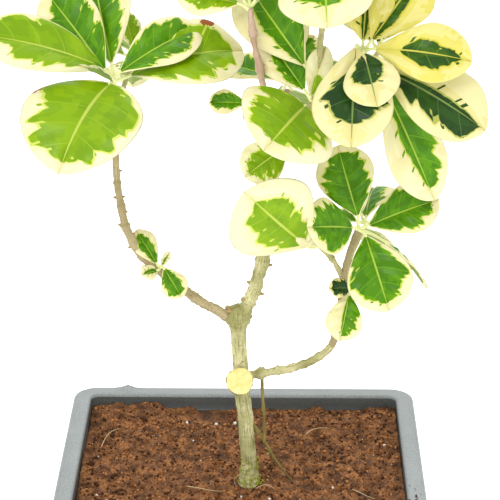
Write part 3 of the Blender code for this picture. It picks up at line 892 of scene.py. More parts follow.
def rosette_leaves(name, rosette):
    """Leaves at their headings and rises round the shoot's end, each turned and bent by chance."""
    chance = np.random.default_rng(name_number(name))
    at = np.array(rosette["at"], float)
    leaves = []
    for number, (heading, rise, length, width) in enumerate(rosette["leaves"]):
        heading, rise = math.radians(heading), math.radians(rise)
        level = np.array((math.cos(heading), math.sin(heading), 0.0))
        way = math.cos(rise) * level + math.sin(rise) * UP
        face = math.cos(rise) * UP - math.sin(rise) * level
        side = np.cross(way, face)
        lean = math.radians(chance.uniform(-16, 16))
        leaves.append(
            leaf_of(
                f"{name}_{number}", at + STALK_SHARE * length * way, at + length * way,
                math.cos(lean) * face + math.sin(lean) * side, width * chance.uniform(0.95, 1.1),
                palette=rosette["palette"], bend=chance.uniform(20, 50), twist=chance.uniform(-14, 14),
                fold_left=chance.uniform(4, 18), fold_right=chance.uniform(4, 18),
                green=(chance.uniform(0.4, 0.82), chance.uniform(0.4, 0.82)),
                seed=float(chance.integers(1, 400)), green_to=chance.uniform(0.8, 0.97),
            )
        )
    return leaves


# Limbs: the same curves as the solids, with the bark's relief

# How far apart a limb's rings of points are in millimetres, and the fine rings round a knot: their
# height as a share of its extra radius, and their turn in radians for each millimetre
RING_GAP = 0.5
KNOT_RINGS = 0.18
KNOT_RING_TURN = 3.4
# A limb drifts from its curve by up to so many millimetres, in bends of about this length, by one
# lane of noise for each axis
DRIFT = 0.35
DRIFT_LENGTH = 7.0
DRIFT_LANES = (0, 5, 9)
# The cell of the noise that makes the scars round a limb, in millimetres
SCAR_GAP = 1.1
# Cracks: how fine their noise is round and along the limb, and how high it may stand out
CRACKS_ROUND = 1.6
CRACKS_ALONG = 0.22
CRACK_TOP = 0.25
# How far the point of a round end stands off, as a share of the radius, at the start and the end
START_DOME = 0.35
END_DOME = 0.6


def add_tube(bag, points, radii, finish, sides=10, round_end=True, relief=0.0):
    """A closed tube: a circle of the given radius at each point of a path, and a point at each end.

    relief is extra radius, one number or one for each ring and side. The tube's map is the turn,
    from 1 down to 0 and up again, and the way along in centimetres.
    """
    points = np.asarray(points, float)
    radii = np.asarray(radii, float)
    along, side, across = tube_frames(points)
    turns = turns_of(sides)
    ring = np.cos(turns)[:, None] * side[:, None] + np.sin(turns)[:, None] * across[:, None]
    body = points[:, None] + (radii[:, None] + relief)[..., None] * ring
    start = points[0] - along[0] * (START_DOME * radii[0] if round_end else 0.0)
    end = points[-1] + along[-1] * (END_DOME * radii[-1] if round_end else 0.0)
    way = way_along(points) / 10.0
    maps = np.stack(np.broadcast_arrays(np.abs(turns / math.pi - 1.0), way[:, None]), -1).reshape(-1, 2)
    maps = np.concatenate((maps, [[0.5, 0.0]], [[0.5, way[-1]]]))
    all_points = np.concatenate((body.reshape(-1, 3), [start, end])) * MM
    bag.add(all_points, grid_faces(closed_rings(len(points), sides)), finish, maps)


def limb_of(finish, radii, path, *knots, rings=None, sides=20, scars=0.10):
    """A limb's finish, its radius at each end, its Bezier path and its knots, in millimetres.

    A knot is its share of the way, its extra radius and its spread as a share of the way. rings is
    how many rings of points it has, if not one for each RING_GAP, and scars is the depth of the
    scars round it as a share of its radius.
    """
    return dict(finish=finish, radii=radii, path=path, knots=knots, rings=rings, sides=sides, scars=scars)


LIMBS = {
    "trunk": limb_of(
        "bark_olive", (3.5, 3.3), ((3.8, -13, 46.5), (3.6, -13, 82), (-1.2, -13, 96), (-1.0, -13, 134.5)),
        (0.955, 2.2, 0.035), (0.0, 1.2, 0.06), (0.6, 0.5, 0.03), rings=190, sides=40, scars=0.03,
    ),
    "left_bough_lower": limb_of(
        "bark_beige", (2.2, 1.9),
        ((-1.0, -13, 127.5), (-12, -13, 134), (-25, -13.5, 142), (-41.2, -13, 157.6)),
        (0.16, 0.7, 0.03), (0.5, 0.4, 0.03), (0.8, 0.5, 0.03),
    ),
    "left_bough_upper": limb_of(
        "bark_beige", (1.9, 1.2),
        ((-41.0, -13, 157.4), (-55, -13, 174), (-51, -13.5, 196), (-52.4, -13, 237)),
        (0.03, 0.5, 0.02), (0.15, 0.4, 0.02), (0.28, 0.5, 0.015), (0.41, 0.35, 0.015),
        (0.55, 0.35, 0.015), (0.72, 0.3, 0.015), (0.9, 0.5, 0.02),
    ),
    "left_back_shoot": limb_of(
        "bark_young", (1.2, 1.0), ((-52.4, -13, 219), (-52, -4, 224), (-49, 5, 229), (-46, 14, 238)),
        (0.5, 0.3, 0.04),
    ),
    "main_bough": limb_of(
        "bark_olive", (3.0, 2.3), ((0.0, -13, 130), (8, -13, 144), (14, -12.5, 166), (12.8, -12.5, 206)),
        (0.06, 0.9, 0.04), (0.16, 0.8, 0.012), (0.3, 0.5, 0.015), (0.48, 0.8, 0.03), (0.7, 0.4, 0.02),
        sides=28,
    ),
    "centre_shoot": limb_of(
        "bark_pink", (1.7, 1.2), ((12.8, -12.5, 204), (15, -12.5, 224), (5, -12.5, 246), (4.5, -12, 268)),
        (0.35, 0.5, 0.03), (0.62, 0.7, 0.03), (0.85, 0.5, 0.03),
    ),
    "right_shoot": limb_of(
        "bark_young", (2.1, 1.5), ((12.8, -12.5, 202), (20, -13, 224), (32, -15, 226), (50, -19.5, 252)),
        (0.4, 0.6, 0.03), (0.66, 0.9, 0.03),
    ),
    "top_shoot": limb_of(
        "bark_young", (1.4, 1.1), ((29.5, -14.6, 229), (34, -11, 243), (34, -10, 262), (33, -10, 284)),
        (0.4, 0.4, 0.03),
    ),
    "back_shoot": limb_of(
        "bark_beige", (1.7, 1.2), ((12.8, -12.5, 189), (13, 2, 199), (15, 14, 208), (20, 27, 220)),
        (0.4, 0.5, 0.03), (0.7, 0.4, 0.03),
    ),
    "right_back_shoot": limb_of(
        "bark_young", (1.3, 1.0), ((36, -16, 235.5), (42, -6, 236), (50, 6, 236), (58, 15, 241)),
        (0.5, 0.4, 0.03),
    ),
    "right_bough_lower": limb_of(
        "bark_olive", (1.9, 1.7), ((0, -13, 101), (16, -13, 104), (32, -13.5, 105), (40.2, -13, 116.8)),
        (0.18, 1.0, 0.03), (0.34, 0.5, 0.015), (0.48, 0.5, 0.015), (0.62, 0.5, 0.02), (0.8, 0.4, 0.02),
    ),
    "right_bough_upper": limb_of(
        "bark_beige", (1.7, 1.2), ((39.9, -13, 116.5), (45.5, -13, 130), (42, -13, 152), (50, -14, 172)),
        (0.1, 0.4, 0.02), (0.35, 0.5, 0.02), (0.62, 0.6, 0.03),
    ),
    "right_twig": limb_of(
        "bark_young", (1.3, 1.0), ((43.9, -13, 149), (41, -14, 157), (37, -18, 162), (33.5, -21, 168)),
        (0.5, 0.3, 0.04),
    ),
    "right_back_twig": limb_of(
        "bark_young", (1.2, 1.0), ((43.3, -13, 139), (44, -5, 146), (49, 2, 154), (53.5, 9, 163)),
        (0.5, 0.3, 0.04),
    ),
    "surface_root": limb_of(
        "root_olive", (0.9, 0.55), ((2.5, -13, 81), (8.5, -13, 74), (12, -12.5, 62), (24, -10, 45)),
        (0.3, 0.4, 0.05), (0.6, 0.3, 0.05),
    ),
    "hanging_root": limb_of(
        "root_olive", (0.8, 0.6), ((9.6, -13, 103), (9.2, -14, 92), (11, -14, 82), (10.4, -13.2, 68)),
        (0.5, 0.2, 0.05),
    ),
}


def limb_relief(points, radii, sides, depth, seed):
    """Extra radius from lengthwise cracks: noise drawn out along the limb, deepest where it is low."""
    turns = turns_of(sides)
    around = radii[:, None] * np.cos(turns), radii[:, None] * np.sin(turns)
    place = np.stack(
        np.broadcast_arrays(
            around[0] * CRACKS_ROUND, around[1] * CRACKS_ROUND, way_along(points)[:, None] * CRACKS_ALONG
        ),
        -1,
    )
    cracks = rough_noise(place, 3, seed)
    lumps = lattice_noise(place * (0.35, 0.35, 1.1), seed + 20.0)
    return depth * (np.minimum(cracks, CRACK_TOP) + 0.5 * lumps)


def limb_body(name, limb, depth):
    """Path, radii and relief of a limb: its taper, its knots with fine rings round them, and cracks."""
    curve = bezier(limb["path"], np.linspace(0, 1, 60))
    length = np.linalg.norm(np.diff(curve, axis=0), axis=1).sum()
    shares = np.linspace(0.0, 1.0, limb["rings"] or int(length / RING_GAP))
    start, end = limb["radii"]
    radii = start + (end - start) * shares
    for place, extra, spread in limb["knots"]:
        near = np.exp(-(((shares - place) / spread) ** 2))
        rings = 1.0 + KNOT_RINGS * np.sin((shares - place) * length * KNOT_RING_TURN)
        radii = radii + extra * near * rings
    seed = float(name_number(name) % 89)
    drift = np.stack([line_noise(shares * length / DRIFT_LENGTH, seed, lane) for lane in DRIFT_LANES], -1)
    points = bezier(limb["path"], shares) + DRIFT * drift * np.sin(math.pi * shares)[:, None]
    radii = radii * (1.0 + limb["scars"] * line_noise(shares * length / SCAR_GAP, seed + 3.0))
    return points, radii, limb_relief(points, radii, limb["sides"], depth, seed)


# The sawn stub of the old leader: its path, its radius at the trunk and what it flares by, and the
# disc of its cut
STUB_PATH = ((-1.2, -12.8, 96.6), (-1.0, -15, 98.3), (-0.6, -18, 100.5), (-0.3, -20.5, 102.4))
STUB_RADIUS = 4.4
STUB_FLARE = 1.6
STUB_STEPS = 24
STUB_SIDES = 36
CUT_CENTRE = (-0.2, -20.9, 102.7)
CUT_NORMAL = (0.05, -0.82, 0.57)
CUT_RADIUS = 5.9
CUT_RINGS = 9
CUT_DOME = 0.5


def add_cut_stub(bag):
    """The old leader's stump: a short flaring tube, its face towards the viewer."""
    shares = np.linspace(0, 1, STUB_STEPS)
    path = bezier(STUB_PATH, shares)
    radii = STUB_RADIUS + STUB_FLARE * shares**1.5
    relief = limb_relief(path, radii, STUB_SIDES, 0.5, 3.0)
    add_tube(bag, path, radii, "stub_bark", STUB_SIDES, False, relief)


def add_cut(bag):
    """The sawn face: a slightly domed disc of rings whose radius wobbles, turned under at its edge."""
    centre = np.array(CUT_CENTRE)
    out = unit(CUT_NORMAL)
    side = unit(np.cross(out, UP))
    up = np.cross(side, out)
    turns = turns_of(STUB_SIDES)
    shares = np.concatenate((np.linspace(0.0, 1.0, CUT_RINGS)[1:], [1.0, 0.9]))
    heights = CUT_DOME - 0.35 * shares**2
    heights[-2:] = (-0.6, -1.2)
    circle = np.stack((2 * np.cos(turns), 2 * np.sin(turns), 0 * turns), -1)
    wobble = 1.0 + 0.05 * lattice_noise(circle, 4.0)
    spokes = np.cos(turns)[:, None] * side + np.sin(turns)[:, None] * up
    places = centre + CUT_RADIUS * shares[:, None, None] * wobble[:, None] * spokes
    places = places + heights[:, None, None] * out
    poles = centre + CUT_DOME * out, centre + heights[-1] * out
    points = np.concatenate((places.reshape(-1, 3), poles)) * MM
    bag.add(points, grid_faces(closed_rings(len(shares), STUB_SIDES)), "cut_wood")


def petiole_path(joint, leaf):
    """A curve from the shoot to the blade's base that meets the blade in line with its midrib."""
    start = np.array(joint, float)
    base, _, along, out, _ = leaf_axes(leaf)
    bend = math.radians(leaf["bend"]) / 2
    way = math.cos(bend) * along + math.sin(bend) * out
    reach = max(1.0, 0.4 * np.linalg.norm(base - start))
    middle = start + (base - start) * 0.35 + UP * 0.15 * reach
    return bezier((start, middle, base - way * reach, base + way * 1.2), np.linspace(0, 1, STALK_STEPS))


# The tray's section from the middle of its underside, up the outside and down the inside: inset,
# height and corner radius
TRAY_SECTION = (
    (20.0, 0.0, 13.0), (17.0, 0.0, 14.0), (16.2, 0.3, 14.0), (15.9, 1.0, 14.0), (12.6, 40.2, 14.0),
    (11.8, 41.0, 13.5), (7.0, 41.8, 11.0), (6.1, 42.4, 10.5), (6.0, 43.2, 10.0), (6.0, 46.4, 10.0),
    (5.7, 46.9, 10.0), (1.6, 47.0, 10.0), (0.5, 47.3, 10.0), (0.05, 48.2, 10.0), (0.0, 50.2, 10.0),
    (0.35, 51.2, 10.0), (1.1, 51.8, 10.0), (2.2, 52.0, 9.0), (5.0, 52.0, 7.0), (7.4, 51.9, 5.0),
    (8.2, 51.5, 4.5), (8.5, 50.6, 4.0), (8.55, 47.0, 4.0), (8.6, 44.2, 4.2), (9.0, 43.6, 4.6),
    (10.0, 43.5, 6.0), (14.0, 43.5, 13.0), (14.9, 43.2, 14.0), (15.1, 42.3, 14.0), (18.8, 3.6, 14.0),
    (19.4, 3.0, 13.5), (22.0, 3.0, 12.0),
)
# The section's rows after this one go down the inside, and have the plastic darkened as painted shade
INNER_ROW = 21
# Points round each corner and along each side of the outline
CORNER_STEPS = 16
SIDE_STEPS = 40
TRAY_FLOOR = 3.0
# A small moulding nub on the back rim: its place, height and half sizes, and above which height
# the rim is raised by it
RIM_NUB = (-57.0, 67.5, 2.2, 3.2, 2.2)
NUB_ABOVE = 50.0


def tray_loop(inset, height, corner):
    """The tray's outline drawn in by inset, at a height, with quarter circles at its corners."""
    half_x = (TRAY_HIGH.x - TRAY_LOW.x) / 2 / MM - inset
    half_y = (TRAY_HIGH.y - TRAY_LOW.y) / 2 / MM - inset
    quarter = np.linspace(0.0, math.pi / 2, CORNER_STEPS)
    between = np.linspace(0.0, 1.0, SIDE_STEPS)[1:-1, None]
    corners = []
    for number, (sign_x, sign_y) in enumerate(((1, 1), (-1, 1), (-1, -1), (1, -1))):
        angle = quarter + number * math.pi / 2
        x = sign_x * (half_x - corner) + corner * np.cos(angle)
        y = sign_y * (half_y - corner) + corner * np.sin(angle)
        corners.append(np.stack((x, y, np.full(CORNER_STEPS, height)), -1))
    loop = []
    for number, arc in enumerate(corners):
        following = corners[(number + 1) % 4]
        loop += [arc, arc[-1] + between * (following[0] - arc[-1])]
    return np.concatenate(loop)


def add_tray(bag):
    """The moulded shell: its section carried round the outline, closed by a floor, with a rim nub."""
    loops = np.stack([tray_loop(*row) for row in TRAY_SECTION])
    x, y, height, half_x, half_y = RIM_NUB
    nub = height * np.exp(-(((loops[..., 0] - x) / half_x) ** 2) - ((loops[..., 1] - y) / half_y) ** 2)
    loops[..., 2] += np.where(loops[..., 2] > NUB_ABOVE, nub, 0.0)
    rows, sides = loops.shape[:2]
    points = np.concatenate((loops.reshape(-1, 3), [[0.0, 0.0, 0.0]], [[0.0, 0.0, TRAY_FLOOR]])) * MM
    # The faces down the inside take the plastic darkened as painted shade
    outer, inner = bag.finish_number("plastic"), bag.finish_number("plastic_painted_shade")
    row_finish = np.where(np.arange(rows + 1) > INNER_ROW, inner, outer)
    bag.add(points, grid_faces(closed_rings(rows, sides)), np.repeat(row_finish, sides))


# The soil: the half sizes of its top, its grid's cell, its usual level, its flat bottom and how far
# that is drawn in. A swell is a mound, or a hollow if its rise is negative: place, half sizes, rise.
SOIL_HALF = (73.6, 61.1)
SOIL_CELL = 0.75
SOIL_LEVEL = 46.8
SOIL_BOTTOM = 43.7
SOIL_FOOT = (0.9, 0.88, 1.0)
SWELLS = (
    (-22, 50, 20, 12, -4.0), (-58, 38, 14, 14, -3.0), (58, 34, 8, 7, -3.4), (-2, -22, 10, 8, -2.2),
    (46, 58, 40, 7, -2.4), (-70, 0, 5, 40, -1.5), (70, -10, 5, 40, -1.2), (-10, 58, 22, 7, -2.0),
    (4, -14, 12, 10, 1.2), (-45, 54, 12, 8, 1.8), (40, 10, 30, 30, 0.8), (-35, -30, 25, 20, 0.6),
)
# The noises on it: the cell of each in millimetres, how high it stands, and how far both are sunk
CRUMB_CELL, CRUMB_RISE = 3.4, 1.5
LUMP_CELL, LUMP_RISE = 9.0, 1.2
ROUGH_DROP = 0.5


def soil_height(x, y):
    """The soil's top in millimetres: its level, the swells, and lumpy and crumbly noise."""
    height = SOIL_LEVEL
    for place_x, place_y, half_x, half_y, rise in SWELLS:
        height = height + rise * np.exp(-(((x - place_x) / half_x) ** 2) - ((y - place_y) / half_y) ** 2)
    place = np.stack((x, y, 0.0 * x), -1)
    crumbs = rough_noise(place / CRUMB_CELL, 4, 11.0)
    lumps = lattice_noise(place / LUMP_CELL, 4.0)
    return height + LUMP_RISE * lumps + CRUMB_RISE * np.abs(crumbs) - ROUGH_DROP


def add_soil(bag):
    """The soil's top on a square grid, a wall down from its edge and a flat bottom inside the tray."""
    half_x, half_y = SOIL_HALF
    x, y = np.meshgrid(
        np.linspace(-1, 1, int(2 * half_x / SOIL_CELL)) * half_x,
        np.linspace(-1, 1, int(2 * half_y / SOIL_CELL)) * half_y,
    )
    top = np.stack((x, y, soil_height(x, y)), -1).reshape(-1, 3)
    numbers = np.arange(x.size).reshape(x.shape)
    edge = np.concatenate((numbers[0, :-1], numbers[:-1, -1], numbers[-1, :0:-1], numbers[:0:-1, 0]))
    wall = top[edge] * (1.0, 1.0, 0.0) + (0.0, 0.0, SOIL_BOTTOM)
    foot = wall * SOIL_FOOT
    wall_numbers = np.arange(len(edge)) + x.size
    foot_numbers = wall_numbers + len(edge)
    centre = np.full(len(edge), x.size + 2 * len(edge))
    rings = np.stack((edge, wall_numbers, foot_numbers, centre))
    rings = np.concatenate((rings, rings[:, :1]), axis=1)
    points = np.concatenate((top, wall, foot, [[0.0, 0.0, SOIL_BOTTOM]])) * MM
    bag.add(points, np.concatenate((grid_faces(numbers), grid_faces(rings)[:, ::-1])), "soil")


# A lump is squashed along each axis, and each of its points pushed in or out, between these shares
LUMP_SQUASH = (0.55, 1.1)
LUMP_ROUGHNESS = (0.78, 1.22)


def crumb_shape():
    """A unit ball of few faces: rings of six points between two poles, as points and faces."""
    rings, sides = 3, 6
    lift = np.linspace(-0.7, 0.7, rings)[:, None]
    turns = turns_of(sides)
    flat = np.sqrt(1 - lift**2)
    body = np.stack(np.broadcast_arrays(flat * np.cos(turns), flat * np.sin(turns), lift), -1)
    points = np.concatenate((body.reshape(-1, 3), [[0, 0, -1.0]], [[0, 0, 1.0]]))
    return points, grid_faces(closed_rings(rings, sides))


def add_lumps(bag, places, sizes, finishes, chance):
    """One uneven lump at each place: the unit ball turned, squashed and roughened by chance."""
    shape, faces = crumb_shape()
    count = len(places)
    turn = chance.uniform(0, 2 * math.pi, count)[:, None]
    squash = chance.uniform(*LUMP_SQUASH, (count, 3))
    rough = chance.uniform(*LUMP_ROUGHNESS, (count, len(shape), 1))
    body = shape[None] * rough * squash[:, None] * sizes[:, None, None]
    x = body[..., 0] * np.cos(turn) - body[..., 1] * np.sin(turn)
    y = body[..., 0] * np.sin(turn) + body[..., 1] * np.cos(turn)
    points = np.stack((x, y, body[..., 2]), -1) + places[:, None]
    all_faces = faces[None] + (np.arange(count) * len(shape))[:, None, None]
    numbers = np.repeat(np.asarray([bag.finish_number(name) for name in finishes]), len(faces))
    bag.add(points.reshape(-1, 3) * MM, all_faces.reshape(-1, 4), numbers)


# Loose things on the soil: how many, how far they stay from the soil's edge, their least half size
# and what is added to it, and the power that crowds them near the least. The fine crumbs' tones
# have the chance of each, and these crumbs are made as a few pieces.
FINE_MARGIN, FINE_SIZES = 1.5, (0.28, 0.7, 3)
FINE_TONES = {"crumb_dark": 0.35, "crumb_mid": 0.45, "crumb_light": 0.2}
FINE_PIECES = 2
PERLITE_COUNT, PERLITE_MARGIN, PERLITE_SIZES = 30, 3, (0.3, 0.9, 2)
CLOD_COUNT, CLOD_MARGIN, CLOD_SIZES = 260, 4, (0.7, 1.3, 2)
# Crumbs spilt on the right lip: their middle and spread along x and y, and the ends of the lip
SPILT_COUNT, SPILT_SIZES = 90, (0.3, 0.6, 2)
SPILT_X, LIP_X = (77.5, 1.6), (74.5, 80.5)
SPILT_Y, LIP_Y = (-46, 9.0), (-62, 0)
LIP_TOP = 52.0
CLOD_TONES = ("crumb_dark", "crumb_mid")


def scattered(chance, count, margin):
    """Places spread evenly over the soil, as an array of x and one of y."""
    return [chance.uniform(-1, 1, count) * (half - margin) for half in SOIL_HALF]


def sizes_of(chance, count, least, more, power):
    """Half sizes: the least plus more times a power of chance."""
    return least + more * chance.random(count) ** power


class COPROSMA_OT_tray(bpy.types.Operator):
    """Build the moulded tray"""

    bl_idname = "coprosma.tray"
    bl_label = "Tray"

    def execute(self, context):
        bag = Gathered()
        add_tray(bag)
        bag.make("moulded_tray", ("tray",))
        return {"FINISHED"}


class COPROSMA_OT_soil(bpy.types.Operator):
    """Build the soil, its crumbs and clods, the perlite on it and the crumbs spilt on the lip"""

    bl_idname = "coprosma.soil"
    bl_label = "Soil"

    def execute(self, context):
        bag = Gathered()
        add_soil(bag)
        bag.make("potting_soil", ("soil",))
        chance = np.random.default_rng(5)
        count = context.scene.coprosma_soil.crumbs
        x, y = scattered(chance, count, FINE_MARGIN)
        sizes = sizes_of(chance, count, *FINE_SIZES)
        places = np.stack((x, y, soil_height(x, y) + 0.25 * sizes), -1)
        tones = chance.choice(list(FINE_TONES), count, p=list(FINE_TONES.values()))
        for number, part in enumerate(np.array_split(np.arange(count), FINE_PIECES)):
            crumbs = Gathered()
            add_lumps(crumbs, places[part], sizes[part], tones[part], chance)
            crumbs.make(f"fine_crumbs_{number + 1}")
        crumbs = Gathered()
        x, y = scattered(chance, PERLITE_COUNT, PERLITE_MARGIN)
        places = np.stack((x, y, soil_height(x, y) + 0.4), -1)
        sizes = sizes_of(chance, PERLITE_COUNT, *PERLITE_SIZES)
        add_lumps(crumbs, places, sizes, ["perlite"] * PERLITE_COUNT, chance)
        x, y = scattered(chance, CLOD_COUNT, CLOD_MARGIN)
        sizes = sizes_of(chance, CLOD_COUNT, *CLOD_SIZES)
        places = np.stack((x, y, soil_height(x, y) - 0.1 * sizes), -1)
        add_lumps(crumbs, places, sizes, chance.choice(CLOD_TONES, CLOD_COUNT), chance)
        x = np.clip(chance.normal(*SPILT_X, SPILT_COUNT), *LIP_X)
        y = np.clip(chance.normal(*SPILT_Y, SPILT_COUNT), *LIP_Y)
        sizes = sizes_of(chance, SPILT_COUNT, *SPILT_SIZES)
        places = np.stack((x, y, LIP_TOP + 0.3 * sizes), -1)
        add_lumps(crumbs, places, sizes, chance.choice(CLOD_TONES, SPILT_COUNT), chance)
        crumbs.make("soil_crumbs")
        return {"FINISHED"}


class COPROSMA_OT_limbs(bpy.types.Operator):
    """Build the trunk, boughs, shoots and roots with their bark"""

    bl_idname = "coprosma.limbs"
    bl_label = "Trunk and boughs"

    def execute(self, context):
        depth = context.scene.coprosma_bark.relief
        for name, limb in LIMBS.items():
            bag = Gathered()
            points, radii, relief = limb_body(name, limb, depth)
            add_tube(bag, points, radii, limb["finish"], limb["sides"], True, relief)
            bag.make(f"bark_{name}", (name,))
        bag = Gathered()
        add_cut_stub(bag)
        add_cut(bag)
        bag.make("sawn_stub", ("cut_stub",))
        return {"FINISHED"}


# Stubs of old shoots on each limb: the share of the way, the heading round the limb in degrees from
# the front, the length and the radius. They are built to PEG_SHARE of the length, and taper from
# the first to the second of PEG_RADII times the radius.
PEGS = {
    "main_bough": (
        (0.16, -60, 2.6, 0.55), (0.25, 80, 3.2, 0.5), (0.3, -100, 2.2, 0.5), (0.45, 100, 3.4, 0.45),
        (0.05, 70, 2.4, 0.6),
    ),
    "trunk": ((0.985, -110, 4.2, 0.9), (0.97, 95, 2.8, 0.8), (0.99, -60, 3.0, 0.6)),
    "left_bough_lower": ((0.3, 180, 1.6, 0.5), (0.55, 0, 1.4, 0.5), (0.8, 180, 1.8, 0.45)),
    "left_bough_upper": (
        (0.12, -90, 1.7, 0.4), (0.2, 90, 1.6, 0.4), (0.29, -90, 1.8, 0.4), (0.37, 90, 1.6, 0.35),
        (0.47, -90, 1.5, 0.35), (0.47, 90, 1.5, 0.35), (0.62, 90, 1.3, 0.3),
    ),
    "right_bough_lower": (
        (0.2, -160, 2.4, 0.6), (0.3, 160, 2.0, 0.5), (0.5, -170, 1.6, 0.5), (0.66, 170, 1.5, 0.4),
    ),
    "right_bough_upper": ((0.2, -90, 1.4, 0.4), (0.45, 90, 1.6, 0.4)),
    "centre_shoot": ((0.36, -90, 1.8, 0.4), (0.63, 90, 1.8, 0.4)),
    "right_shoot": ((0.65, -90, 2.0, 0.5), (0.4, 90, 1.6, 0.45)),
}
PEG_SHARE = 0.55
PEG_STEPS = 10
PEG_RADII = (2.0, 1.1)
# Moss round the trunk's foot: how high it climbs, how near the bark it stays and how far it spreads
# at the foot
MOSS_COUNT = 150
MOSS_CENTRE = (3.8, -13)
MOSS_FOOT, MOSS_CLIMB = 48.0, 12.0
MOSS_REACH, MOSS_SPREAD = 3.9, 2.4
# Fibres that lie on the soil, each a Bezier path
FIBRES = (
    ((-24, -20, 49), (-18, -26, 52), (-12, -28, 51), (-8, -24, 49)),
    ((-60, -30, 48), (-58, -34, 50), (-55, -38, 50), (-50, -36, 48)),
    ((-66, 20, 46), (-64, 26, 50), (-62, 32, 49), (-58, 38, 46)),
    ((30, 30, 48), (33, 34, 50), (38, 33, 50), (42, 36, 48)),
    ((10, -30, 48), (14, -34, 50), (16, -38, 49), (12, -42, 48)),
    ((50, -20, 48), (52, -26, 51), (56, -30, 50), (60, -28, 48)),
    ((-2, -18, 48), (-4, -22, 54), (-2, -24, 57), (0, -25, 58)),
    ((7, -20, 48), (10, -22, 52), (13, -24, 53), (15, -25, 51)),
)
FIBRE_STEPS = 16
FIBRE_RADII = (0.22, 0.1)


def add_peg(bag, limb, share, heading, length, radius):
    """A short tapering stub that stands off its limb and leans forward along it."""
    line = bezier(limb["path"], np.array((share - 0.01, share, share + 0.01)))
    along = unit(line[2] - line[0])
    front = unit(np.array((0.0, -1.0, 0.0)) - along * (-along[1]))
    turn = math.radians(heading)
    out = math.cos(turn) * front + math.sin(turn) * np.cross(along, front)
    thick = limb["radii"][0] + (limb["radii"][1] - limb["radii"][0]) * share
    length = PEG_SHARE * length
    foot = line[1] + out * thick
    end = line[1] + out * (thick + length) + along * 0.35 * length
    corners = (line[1] + out * 0.5 * thick, foot, end - out * 0.3 * length, end)
    path = bezier(corners, np.linspace(0, 1, PEG_STEPS))
    add_tube(bag, path, radius * np.linspace(*PEG_RADII, PEG_STEPS), "peg")


def add_moss(bag, chance):
    """Tufts of moss round the trunk's foot: small lumps crowded against the bark."""
    turn = chance.uniform(0, 2 * math.pi, MOSS_COUNT)
    height = MOSS_FOOT + MOSS_CLIMB * chance.random(MOSS_COUNT) ** 2.2
    reach = MOSS_REACH + MOSS_SPREAD * np.exp(-(height - MOSS_FOOT) / 3.0) * chance.random(MOSS_COUNT)
    x, y = MOSS_CENTRE
    places = np.stack((x + reach * np.cos(turn), y + reach * np.sin(turn), height), -1)
    add_lumps(bag, places, 0.25 + 0.45 * chance.random(MOSS_COUNT), ["moss"] * MOSS_COUNT, chance)


class COPROSMA_OT_details(bpy.types.Operator):
    """Add the old pegs on the boughs, the moss at the foot and the fibres in the soil"""

    bl_idname = "coprosma.details"
    bl_label = "Small details"

    def execute(self, context):
        bag = Gathered()
        for name, pegs in PEGS.items():
            for peg in pegs:
                add_peg(bag, LIMBS[name], *peg)
        bag.make("bark_pegs")
        bag = Gathered()
        add_moss(bag, np.random.default_rng(12))
        for path in FIBRES:
            curve = bezier(path, np.linspace(0, 1, FIBRE_STEPS))
            add_tube(bag, curve, np.linspace(*FIBRE_RADII, FIBRE_STEPS), "fibre", 6)
        bag.make("moss_and_fibres")
        return {"FINISHED"}


class COPROSMA_OT_leaves(bpy.types.Operator):
    """Build every rosette of leaves with its leaf stalks"""

    bl_idname = "coprosma.leaves"
    bl_label = "Leaves"

    def execute(self, context):
        # A setting holds only about seven digits, so what follows them is rounded off
        thickness = round(context.scene.coprosma_leaf.thickness, 4)
        stalks = Gathered()
        for mass in sorted(set(CLUSTERS) | set(ROSETTES)):
            bag = Gathered()
            members = []
            if mass in CLUSTERS:
                members += [(CLUSTERS[mass]["joint"], leaf) for leaf in CLUSTERS[mass]["leaves"]]
            if mass in ROSETTES:
                rosette = ROSETTES[mass]
                members += [(rosette["at"], leaf) for leaf in rosette_leaves(mass, rosette)]
            for joint, leaf in members:
                add_leaf(bag, leaf, thickness)
                radii = np.linspace(*STALK_RADII, STALK_STEPS)
                add_tube(stalks, petiole_path(joint, leaf), radii, "petiole", STALK_SIDES)
            bag.make(mass.replace("foliage", "leaves"), (mass,))
        stalks.make("leaf_stalks")
        return {"FINISHED"}


# The stage, in metres: a floor just under the tray, and soft lamps by place, width and power
FLOOR_HALF = 8.0
FLOOR_DROP = 0.0005
FLOOR_GLOW = 0.6
LAMPS = {
    "key": ((-0.7, -0.9, 1.5), 0.8, 10.0),
    "fill": ((1.1, -0.9, 0.8), 1.2, 3.0),
    "back": ((0.2, 1.2, 1.3), 1.2, 7.0),
}
LAMP_AIM = (0.0, 0.0, 0.15)


def add_floor(scene):
    """A wide pale square under the tray, for the stage only."""
    mesh = bpy.data.meshes.new("floor")
    signs = ((-1, -1), (1, -1), (1, 1), (-1, 1))
    corners = [(x * FLOOR_HALF, y * FLOOR_HALF, -FLOOR_DROP) for x, y in signs]
    mesh.from_pydata(corners, [], [(0, 1, 2, 3)])
    floor = bpy.data.objects.new("floor", mesh)
    scene.collection.objects.link(floor)
    _, shader = new_material("floor_white")
    set_inputs(
        shader, Base_Color=(0.92, 0.92, 0.92, 1.0), Roughness=0.9, Emission_Color=(1.0, 1.0, 1.0, 1.0),
        Emission_Strength=FLOOR_GLOW,
    )
    mesh.materials.append(MATERIALS["floor_white"])


def add_lamp(scene, name, place, width, power):
    """A square lamp at a place, turned to the aim: its tilt and heading come from the way there."""
    light = bpy.data.lights.new(name, "AREA")
    light.size = width
    light.energy = power
    lamp = bpy.data.objects.new(name, light)
    scene.collection.objects.link(lamp)
    lamp.location = place
    away = np.array(place) - LAMP_AIM
    tilt = math.atan2(math.hypot(away[0], away[1]), away[2])
    lamp.rotation_euler = (tilt, 0.0, math.atan2(away[0], -away[1]))


